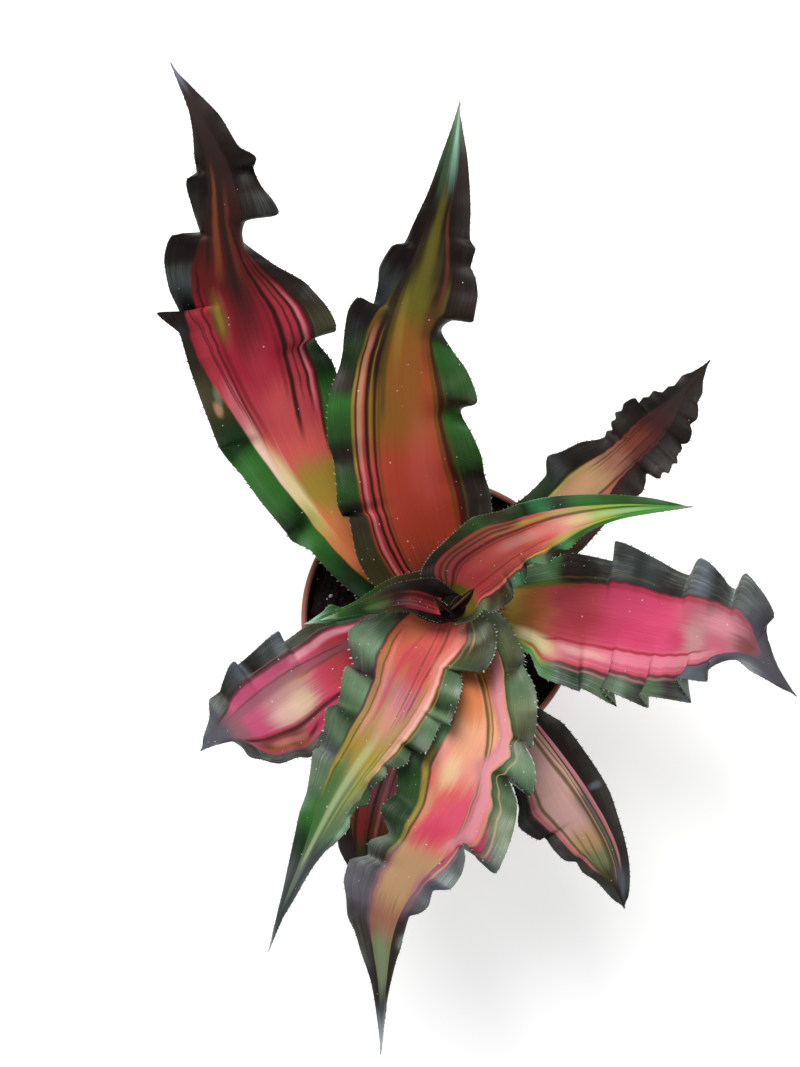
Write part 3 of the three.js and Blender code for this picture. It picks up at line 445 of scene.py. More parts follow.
FRONT_LEFT_MARKS = Markings(
    # The STEEL and ASH ends at the tip are painted sheen of the sky on the dark tip.
    centre=((0, CORAL), (0.12, CORAL), (0.22, CORAL), (0.32, ROSEWOOD), (0.4, BUFF), (0.47, OCHRE),
            (0.56, LICHEN), (0.64, VERDIGRIS), (0.7, SLATE), (0.88, SLATE), (0.94, STEEL), (1, ASH)),
    # On both margins the stops step lighter and darker lobe by lobe: the lighter steps are painted light on
    # the lobes' crests, the darker ones painted shade between them.
    left=((0, LICHEN), (0.08, LICHEN), (0.11, KHAKI), (0.17, VERDIGRIS), (0.23, VERDIGRIS), (0.28, FOREST),
          (0.31, FROST), (0.36, VERDIGRIS), (0.4, FOREST), (0.43, VERDIGRIS), (0.47, FROST),
          (0.51, FOREST), (0.56, MOSS), (0.62, FERN), (0.68, SLATE), (0.92, SLATE), (1, ASH)),
    right=((0, KHAKI), (0.13, KHAKI), (0.19, VERDIGRIS), (0.26, FROST), (0.31, UMBER), (0.35, FROST),
           (0.39, VERDIGRIS), (0.42, FOREST), (0.46, VERDIGRIS), (0.5, SLATE), (0.55, VERDIGRIS),
           (0.62, FERN), (0.68, FOREST), (0.76, SLATE), (0.88, SLATE), (1, ASH)),
    inner_left=((0, 0.6), (0.08, 0.52), (0.16, 0.36), (0.24, 0.5), (0.4, 0.56), (0.5, 0.64), (0.6, 0.7),
                (0.7, 0.5), (0.8, 0.3), (1, 0.3)),
    inner_right=((0, 0.82), (0.12, 0.74), (0.22, 0.6), (0.35, 0.54), (0.5, 0.58), (0.58, 0.6),
                 (0.66, 0.45), (0.75, 0.35), (0.9, 0.3), (1, 0.3)),
    clouds=(Cloud(ORANGE, 0.06, 0.5, 0.13, 0.3, 0.7), Cloud(RED_ROSE, 0.2, 0.08, 0.09, 0.22, 0.6),
            Cloud(BLUSH, 0.32, -0.4, 0.08, 0.08, 0.5), Cloud(SALMON, 0.37, 0.1, 0.06, 0.2, 0.5),
            Cloud(ORANGE, 0.3, 0.42, 0.12, 0.12, 0.4), Cloud(LIME, 0.52, -0.3, 0.08, 0.2, 0.35),
            Cloud(FERN, 0.6, 0.42, 0.13, 0.24, 0.7), Cloud(CELERY, 0.46, -0.4, 0.05, 0.1, 0.4),
            Cloud(SAGE, 0.76, 0.2, 0.09, 0.3, 0.45)),
    stripes=(
        Stripe(SALMON, -0.12, -0.13, 0.11, 0, 0.5, 0.6, LEFT),
        Stripe(BLUSH, -0.06, -0.08, 0.04, 0.1, 0.5, 0.5, LEFT),
        Stripe(SEPIA, 0.01, 0.01, 0.026, 0, 0.6, 0.7, LEFT),
        Stripe(OCHRE, 0.06, 0.06, 0.02, 0, 0.5, 0.5, LEFT),
        Stripe(MAUVE, 0.05, 0.06, 0.05, 0, 0.13, 0.5, LEFT),
        Stripe(TAN, 0.13, 0.17, 0.02, 0, 0.12, 0.85, LEFT),
        Stripe(RUSSET, -0.2, -0.2, 0.026, 0, 0.36, 0.7, bow=0.07),
        Stripe(RUSSET, 0.02, -0.04, 0.016, 0, 0.4, 0.5, bow=0.04),
        Stripe(RED_ROSE, -0.08, -0.12, 0.03, 0, 0.4, 0.4, bow=0.05),
        Stripe(OCHRE, -0.26, -0.3, 0.04, 0.2, 0.56, 0.7),
        Stripe(SEPIA, -0.3, -0.34, 0.02, 0.22, 0.54, 0.6),
        Stripe(OCHRE, 0.18, 0.26, 0.03, 0.2, 0.5, 0.4),
        Stripe(RED_ROSE, 0.26, 0.3, 0.03, 0.06, 0.42, 0.5),
        Stripe(CELERY, 0.1, 0.18, 0.08, 0.42, 0.74, 0.5),
        Stripe(LIME, -0.12, -0.06, 0.05, 0.44, 0.66, 0.45),
        Stripe(OLIVE, -0.2, -0.2, 0.03, 0.44, 0.66, 0.6),
        Stripe(OCHRE, -0.07, -0.07, 0.03, 0.16, 0.58, 0.75, RIGHT),
        Stripe(SEPIA, -0.11, -0.11, 0.014, 0.14, 0.58, 0.7, RIGHT),
        Stripe(SALMON, -0.17, -0.17, 0.03, 0.16, 0.46, 0.5, RIGHT),
        Stripe(INK, 0, 0, 0.024, 0, 0.5, 0.7, RIGHT),
        Stripe(SAGE, 0.24, 0.24, 0.03, 0.04, 0.3, 0.5, RIGHT),
    ),
    silver=0.45,
    spine=WHITE_SCALE,
    specks=0.8,
    pleat=0.95,
)

LEFT_MARKS = Markings(
    centre=((0, CRIMSON), (0.26, CRIMSON), (0.34, RED_ROSE), (0.44, HOT_PINK), (0.52, ROSEWOOD),
            (0.64, MAGENTA), (0.76, MAGENTA), (0.83, MAUVE), (0.88, DUSK), (0.95, DUSK), (1, STEEL)),
    left=((0, FOREST), (0.4, MOSS), (0.55, UMBER), (0.8, SOOT), (0.86, DUSK), (1, STEEL)),
    # On the right margin the STEEL stops at 0.5 and 0.68 are painted highlights on the lobes.
    right=((0, FERN), (0.28, FOREST), (0.4, KHAKI), (0.46, UMBER), (0.5, STEEL), (0.54, SLATE),
           (0.63, SOOT), (0.68, STEEL), (0.72, SLATE), (0.79, COAL), (0.88, DUSK), (1, STEEL)),
    inner_left=((0, 0.8), (0.5, 0.84), (0.7, 0.84), (0.78, 0.8), (0.82, 0.6), (0.88, 0.45), (1, 0.3)),
    inner_right=((0, 0.8), (0.3, 0.84), (0.38, 0.72), (0.47, 0.62), (0.6, 0.58), (0.76, 0.6), (0.82, 0.5),
                 (0.88, 0.45), (1, 0.3)),
    clouds=(Cloud(OLD_PINK, 0.57, -0.15, 0.14, 0.5, 0.8), Cloud(CREAM, 0.53, -0.3, 0.07, 0.26, 0.5),
            Cloud(BLUSH, 0.6, -0.3, 0.1, 0.2, 0.6), Cloud(TAN, 0.5, 0.1, 0.08, 0.16, 0.5),
            Cloud(RED_ROSE, 0.4, -0.2, 0.07, 0.3, 0.5)),
    stripes=(
        Stripe(MAUVE, 0.24, 0.18, 0.14, 0.2, 0.84, 0.7),
        Stripe(MAROON, 0.3, 0.28, 0.024, 0.3, 0.84, 0.45),
        Stripe(RUSSET, 0.14, 0.08, 0.04, 0.3, 0.5, 0.5),
        Stripe(MAGENTA, -0.14, -0.14, 0.13, 0.24, 0.82, 0.9, RIGHT),
        Stripe(PETAL, -0.16, -0.14, 0.09, 0.2, 0.5, 0.8, RIGHT),
        Stripe(MAROON, -0.01, -0.01, 0.05, 0.3, 0.88, 0.7, RIGHT),
        Stripe(ROSEWOOD, 0.06, 0.06, 0.014, 0.3, 0.7, 0.4, RIGHT),
        Stripe(MAROON, -0.56, -0.52, 0.05, 0.3, 0.84, 0.95),
        Stripe(CRIMSON, -0.5, -0.46, 0.03, 0.4, 0.82, 0.6),
        Stripe(CERISE, -0.72, -0.7, 0.12, 0.3, 0.6, 0.9),
        Stripe(MAROON, -0.68, -0.78, 0.04, 0.5, 0.6, 0.8),
        Stripe(RUSSET, -0.7, -0.66, 0.14, 0.57, 0.8, 0.9),
        Stripe(SALMON, -0.7, -0.66, 0.06, 0.58, 0.74, 0.5),
        Stripe(AMBER, -0.8, -0.74, 0.04, 0.56, 0.8, 0.7),
    ),
    silver=0.45,
    spine=STEEL,
    pleat=0.95,
)

YOUNG_RIGHT_MARKS = Markings(
    centre=((0, OLIVE), (0.05, OLIVE), (0.1, BRICK_ROSE), (0.18, RED_ROSE), (0.3, BRICK_ROSE),
            (0.46, BRICK_ROSE), (0.55, CORAL), (0.62, SALMON), (0.68, TAN), (0.74, LIME), (0.82, GRASS),
            (0.92, GRASS), (1, SAGE)),
    left=((0, UMBER), (0.2, UMBER), (0.3, KHAKI), (0.38, MOSS), (0.44, KHAKI), (0.52, FOREST),
          (0.57, JADE), (0.62, FOREST), (0.7, FERN), (0.84, MOSS), (0.94, FERN), (1, SAGE)),
    right=((0, KHAKI), (0.12, LICHEN), (0.2, KHAKI), (0.27, KHAKI), (0.31, VERDIGRIS), (0.37, JADE),
           (0.41, FOREST), (0.46, JADE), (0.5, VERDIGRIS), (0.54, FOREST), (0.59, JADE), (0.63, FERN),
           (0.72, FERN), (0.86, GRASS), (1, SAGE)),
    inner_left=((0, 0.7), (0.2, 0.78), (0.4, 0.72), (0.55, 0.64), (0.7, 0.58), (0.85, 0.5), (1, 0.4)),
    inner_right=((0, 0.8), (0.12, 0.62), (0.3, 0.58), (0.45, 0.64), (0.6, 0.58), (0.75, 0.3), (0.85, 0.1),
                 (1, 0.1)),
    clouds=(Cloud(CREAM, 0.67, -0.18, 0.06, 0.16, 0.5), Cloud(SALMON, 0.54, -0.18, 0.1, 0.16, 0.6),
            Cloud(CORAL, 0.3, -0.2, 0.16, 0.14, 0.7), Cloud(BRICK, 0.14, 0.1, 0.1, 0.3, 0.5),
            Cloud(LIME, 0.62, 0.36, 0.1, 0.2, 0.7), Cloud(CELERY, 0.8, -0.2, 0.12, 0.14, 0.6),
            Cloud(OLD_PINK, 0.44, -0.2, 0.1, 0.12, 0.4)),
    stripes=(
        Stripe(CLAY, -0.62, -0.56, 0.12, 0.06, 0.5, 0.6),
        Stripe(RUSSET, -0.7, -0.62, 0.03, 0.06, 0.52, 0.85),
        Stripe(INK, -0.6, -0.53, 0.024, 0.05, 0.52, 0.6),
        Stripe(RED_ROSE, -0.52, -0.48, 0.03, 0.05, 0.4, 0.7),
        Stripe(INK, -0.45, -0.41, 0.034, 0.02, 0.62, 0.7),
        Stripe(RUSSET, -0.38, -0.35, 0.02, 0.04, 0.56, 0.6),
        Stripe(OCHRE, -0.5, -0.46, 0.02, 0.36, 0.6, 0.6),
        Stripe(LIME, -0.54, -0.46, 0.04, 0.46, 0.88, 0.8),
        Stripe(MOSS, -0.42, -0.38, 0.05, 0.56, 0.88, 0.8),
        Stripe(DARK_RED, 0.1, 0.12, 0.026, 0.05, 0.56, 0.5),
        Stripe(RUSSET, 0.32, 0.34, 0.022, 0.08, 0.56, 0.5),
        Stripe(MOSS, 0.1, -0.1, 0.03, 0.66, 0.9, 0.6),
        Stripe(LIME, -0.1, -0.12, 0.06, 0.42, 0.8, 0.85, RIGHT),
        Stripe(OLIVE, -0.04, -0.05, 0.02, 0.44, 0.76, 0.7, RIGHT),
        Stripe(RUSSET, -0.17, -0.18, 0.03, 0.08, 0.56, 0.7, RIGHT),
        Stripe(TAN, -0.08, -0.08, 0.035, 0.06, 0.46, 0.45, RIGHT),
        Stripe(INK, -0.01, -0.01, 0.028, 0.06, 0.5, 0.7, RIGHT),
    ),
    silver=0.2,
    spine=WHITE_SCALE,
    spine_gap=1.1,
    spine_length=0.45,
    specks=0.9,
    pleat=0.9,
)

FRONT_RIGHT_MARKS = Markings(
    centre=((0, SALMON), (0.4, OLD_PINK), (0.64, OLD_PINK), (0.73, BUFF), (0.8, LICHEN), (0.87, KHAKI),
            (0.93, COAL), (1, COAL)),
    left=((0, FOREST), (0.4, SOOT), (0.8, COAL), (0.92, SLATE), (1, COAL)),
    right=((0, FOREST), (0.45, SOOT), (0.8, COAL), (1, SLATE)),
    inner_left=((0, 0.15), (0.35, 0.16), (0.5, 0.3), (0.66, 0.46), (0.8, 0.6), (0.88, 0.5), (0.94, 0.2),
                (1, 0.1)),
    inner_right=((0, 0.7), (0.5, 0.8), (0.6, 0.76), (0.78, 0.74), (0.86, 0.55), (0.92, 0.2), (1, 0.1)),
    stripes=(
        Stripe(ROSEWOOD, -0.04, -0.05, 0.05, 0.2, 0.86, 0.9, LEFT),
        Stripe(CERISE, -0.08, -0.09, 0.02, 0.2, 0.8, 0.5, LEFT),
        Stripe(INK, -0.14, -0.16, 0.04, 0.2, 0.9, 0.9, LEFT),
        Stripe(OCHRE, -0.2, -0.23, 0.024, 0.2, 0.8, 0.6, LEFT),
        Stripe(INK, -0.25, -0.29, 0.018, 0.3, 0.88, 0.7, LEFT),
        Stripe(SLATE, -0.26, -0.4, 0.2, 0.56, 0.9, 0.8, LEFT),
        Stripe(TAN, -0.29, -0.35, 0.02, 0.3, 0.9, 0.5, LEFT),
        Stripe(SEPIA, -0.34, -0.44, 0.04, 0.3, 0.9, 0.85, LEFT),
        Stripe(BUFF, -0.5, -0.62, 0.02, 0.5, 0.84, 0.4, LEFT),
        Stripe(SEPIA, 0.2, 0.26, 0.03, 0.7, 0.9, 0.6),
        Stripe(SEPIA, 0.4, 0.44, 0.03, 0.66, 0.88, 0.5),
        Stripe(ROSEWOOD, -0.07, -0.07, 0.06, 0.4, 0.84, 0.9, RIGHT),
        Stripe(RED_ROSE, -0.06, -0.06, 0.02, 0.4, 0.84, 0.6, RIGHT),
        Stripe(SEPIA, -0.17, -0.18, 0.035, 0.4, 0.88, 0.85, RIGHT),
        Stripe(INK, 0, 0, 0.03, 0.4, 0.88, 0.8, RIGHT),
    ),
    top_clouds=(Cloud(LILAC, 0.575, -0.66, 0.014, 0.24, 0.4), Cloud(LILAC, 0.9, -0.4, 0.07, 0.3, 0.3)),
    silver=0.15,
    spine=SLATE,
)

BACK_RIGHT_MARKS = Markings(
    centre=((0, OCHRE), (0.34, OCHRE), (0.4, BUFF), (0.5, BUFF), (0.58, CLAY), (0.66, RUSSET),
            (0.76, MAROON), (0.84, UMBER), (1, UMBER)),
    left=((0, FOREST), (0.36, FOREST), (0.42, SLATE), (0.48, SOOT), (0.6, UMBER), (0.8, SOOT), (1, UMBER)),
    right=((0, FOREST), (0.45, MAROON), (0.58, UMBER), (0.8, SOOT), (1, UMBER)),
    inner_left=((0, 0.5), (0.45, 0.48), (0.6, 0.44), (0.75, 0.4), (0.85, 0.25), (1, 0.1)),
    inner_right=((0, 0.6), (0.45, 0.6), (0.56, 0.4), (0.8, 0.36), (0.9, 0.1), (1, 0.1)),
    clouds=(Cloud(TAN, 0.45, -0.1, 0.06, 0.25, 0.5), Cloud(MAROON, 0.66, 0.25, 0.1, 0.15, 0.5)),
    stripes=(
        Stripe(LIME, -0.04, -0.04, 0.05, 0.26, 0.5, 0.6, LEFT),
        Stripe(INK, 0.02, 0.02, 0.05, 0.3, 0.7, 0.8, LEFT),
        Stripe(MAROON, -0.3, -0.28, 0.03, 0.5, 0.8, 0.6),
        Stripe(INK, -0.2, -0.2, 0.02, 0.5, 0.8, 0.5),
        Stripe(CRIMSON, 0.5, 0.44, 0.14, 0.36, 0.6, 0.5),
        Stripe(INK, 0.34, 0.34, 0.04, 0.4, 0.8, 0.7),
        Stripe(MAROON, 0.12, 0.14, 0.03, 0.56, 0.8, 0.6),
    ),
    silver=0.1,
    spine=UMBER,
    specks=0.1,
)

HEART_UPPER_MARKS = Markings(
    # The pale ends at the tip, PALE_MINT and ASH, are painted highlight.
    centre=((0, RED_ROSE), (0.06, WINE), (0.24, WINE), (0.38, MAROON), (0.5, KHAKI), (0.6, MOSS),
            (0.7, FOREST), (0.85, MOSS), (0.93, SAGE), (1, ASH)),
    left=((0, SOOT), (0.3, SOOT), (0.5, KHAKI), (0.66, FOREST), (0.8, MOSS), (0.92, SAGE), (1, PALE_MINT)),
    right=((0, SOOT), (0.4, UMBER), (0.6, KHAKI), (0.75, FOREST), (0.9, MOSS), (1, PALE_MINT)),
    inner_left=((0, 0.5), (0.15, 0.66), (0.3, 0.76), (0.5, 0.8), (1, 0.9)),
    inner_right=((0, 0.3), (0.15, 0.26), (0.5, 0.4), (1, 0.6)),
    clouds=(Cloud(RED_ROSE, 0.08, -0.3, 0.08, 0.2, 0.4), Cloud(MAUVE, 0.3, -0.34, 0.14, 0.24, 0.4),
            Cloud(LICHEN, 0.56, -0.3, 0.12, 0.3, 0.4)),
    stripes=(
        Stripe(MAUVE, -0.42, -0.52, 0.03, 0.05, 0.46, 0.5),
        Stripe(INK, -0.3, -0.36, 0.03, 0, 0.5, 0.7),
        Stripe(INK, -0.14, -0.18, 0.024, 0, 0.46, 0.5),
        Stripe(INK, 0.1, 0.1, 0.1, 0, 0.44, 0.7),
    ),
    silver=0.1,
    spine_gap=1.1,
    spine_length=0.45,
    specks=0.9,
    pleat=0.5,
)

HEART_LOWER_MARKS = Markings(
    # The PALE_MINT ends at the tip are painted highlight.
    centre=((0, MAROON), (0.2, KHAKI), (0.45, FOREST), (0.7, MOSS), (0.85, FERN), (1, PALE_MINT)),
    left=((0, KHAKI), (0.5, FOREST), (0.8, FOREST), (1, PALE_MINT)),
    right=((0, KHAKI), (0.3, KHAKI), (0.55, MOSS), (0.75, FERN), (1, PALE_MINT)),
    inner_left=((0, 0.6), (1, 0.7)),
    inner_right=((0, 0.5), (1, 0.5)),
    stripes=(
        Stripe(OCHRE, 0.4, 0.3, 0.08, 0.1, 0.5, 0.4),
        Stripe(INK, 0.66, 0.6, 0.05, 0.1, 0.6, 0.6),
    ),
    silver=0.1,
    spine_gap=1.1,
    spine_length=0.45,
    specks=0.9,
    pleat=0.5,
)

FRONT_LOW_MARKS = Markings(
    centre=((0, SALMON), (0.4, ROSEWOOD), (0.56, MAUVE), (0.7, RUSSET), (0.8, KHAKI), (1, SLATE)),
    left=((0, FOREST), (0.5, FOREST), (0.8, MOSS), (1, SLATE)),
    right=((0, FOREST), (0.5, UMBER), (0.8, COAL), (1, SLATE)),
    inner_left=((0, 0.5), (0.7, 0.55), (1, 0.3)),
    inner_right=((0, 0.6), (0.7, 0.66), (1, 0.3)),
    clouds=(Cloud(MOSS, 0.8, 0, 0.06, 0.5, 0.6), Cloud(ROSEWOOD, 0.6, -0.1, 0.1, 0.2, 0.5)),
    stripes=(
        Stripe(INK, -0.3, -0.3, 0.04, 0.1, 0.84, 0.6),
        Stripe(INK, -0.06, -0.04, 0.02, 0.3, 0.84, 0.5),
        Stripe(SALMON, 0.04, 0.06, 0.04, 0.3, 0.76, 0.4),
        Stripe(INK, 0.2, 0.22, 0.04, 0.3, 0.84, 0.7),
        Stripe(CRIMSON, 0.42, 0.4, 0.08, 0.4, 0.8, 0.6),
        Stripe(INK, 0.56, 0.54, 0.04, 0.4, 0.84, 0.7),
    ),
    silver=0.1,
    spine=SLATE,
    specks=0.2,
)

BUD_MARKS = Markings(
    centre=((0, SOOT), (0.6, SOOT), (1, UMBER)),
    left=((0, SOOT), (0.5, SEPIA), (1, SEPIA)),
    right=((0, SOOT), (1, SOOT)),
    inner_left=((0, 0.9), (1, 0.84)),
    inner_right=((0, 0.9), (1, 0.9)),
    silver=0.0,
    spine=TAN,
    spine_gap=1.4,
    spine_length=0.35,
    specks=0.3,
    pale_underside=0.0,
)

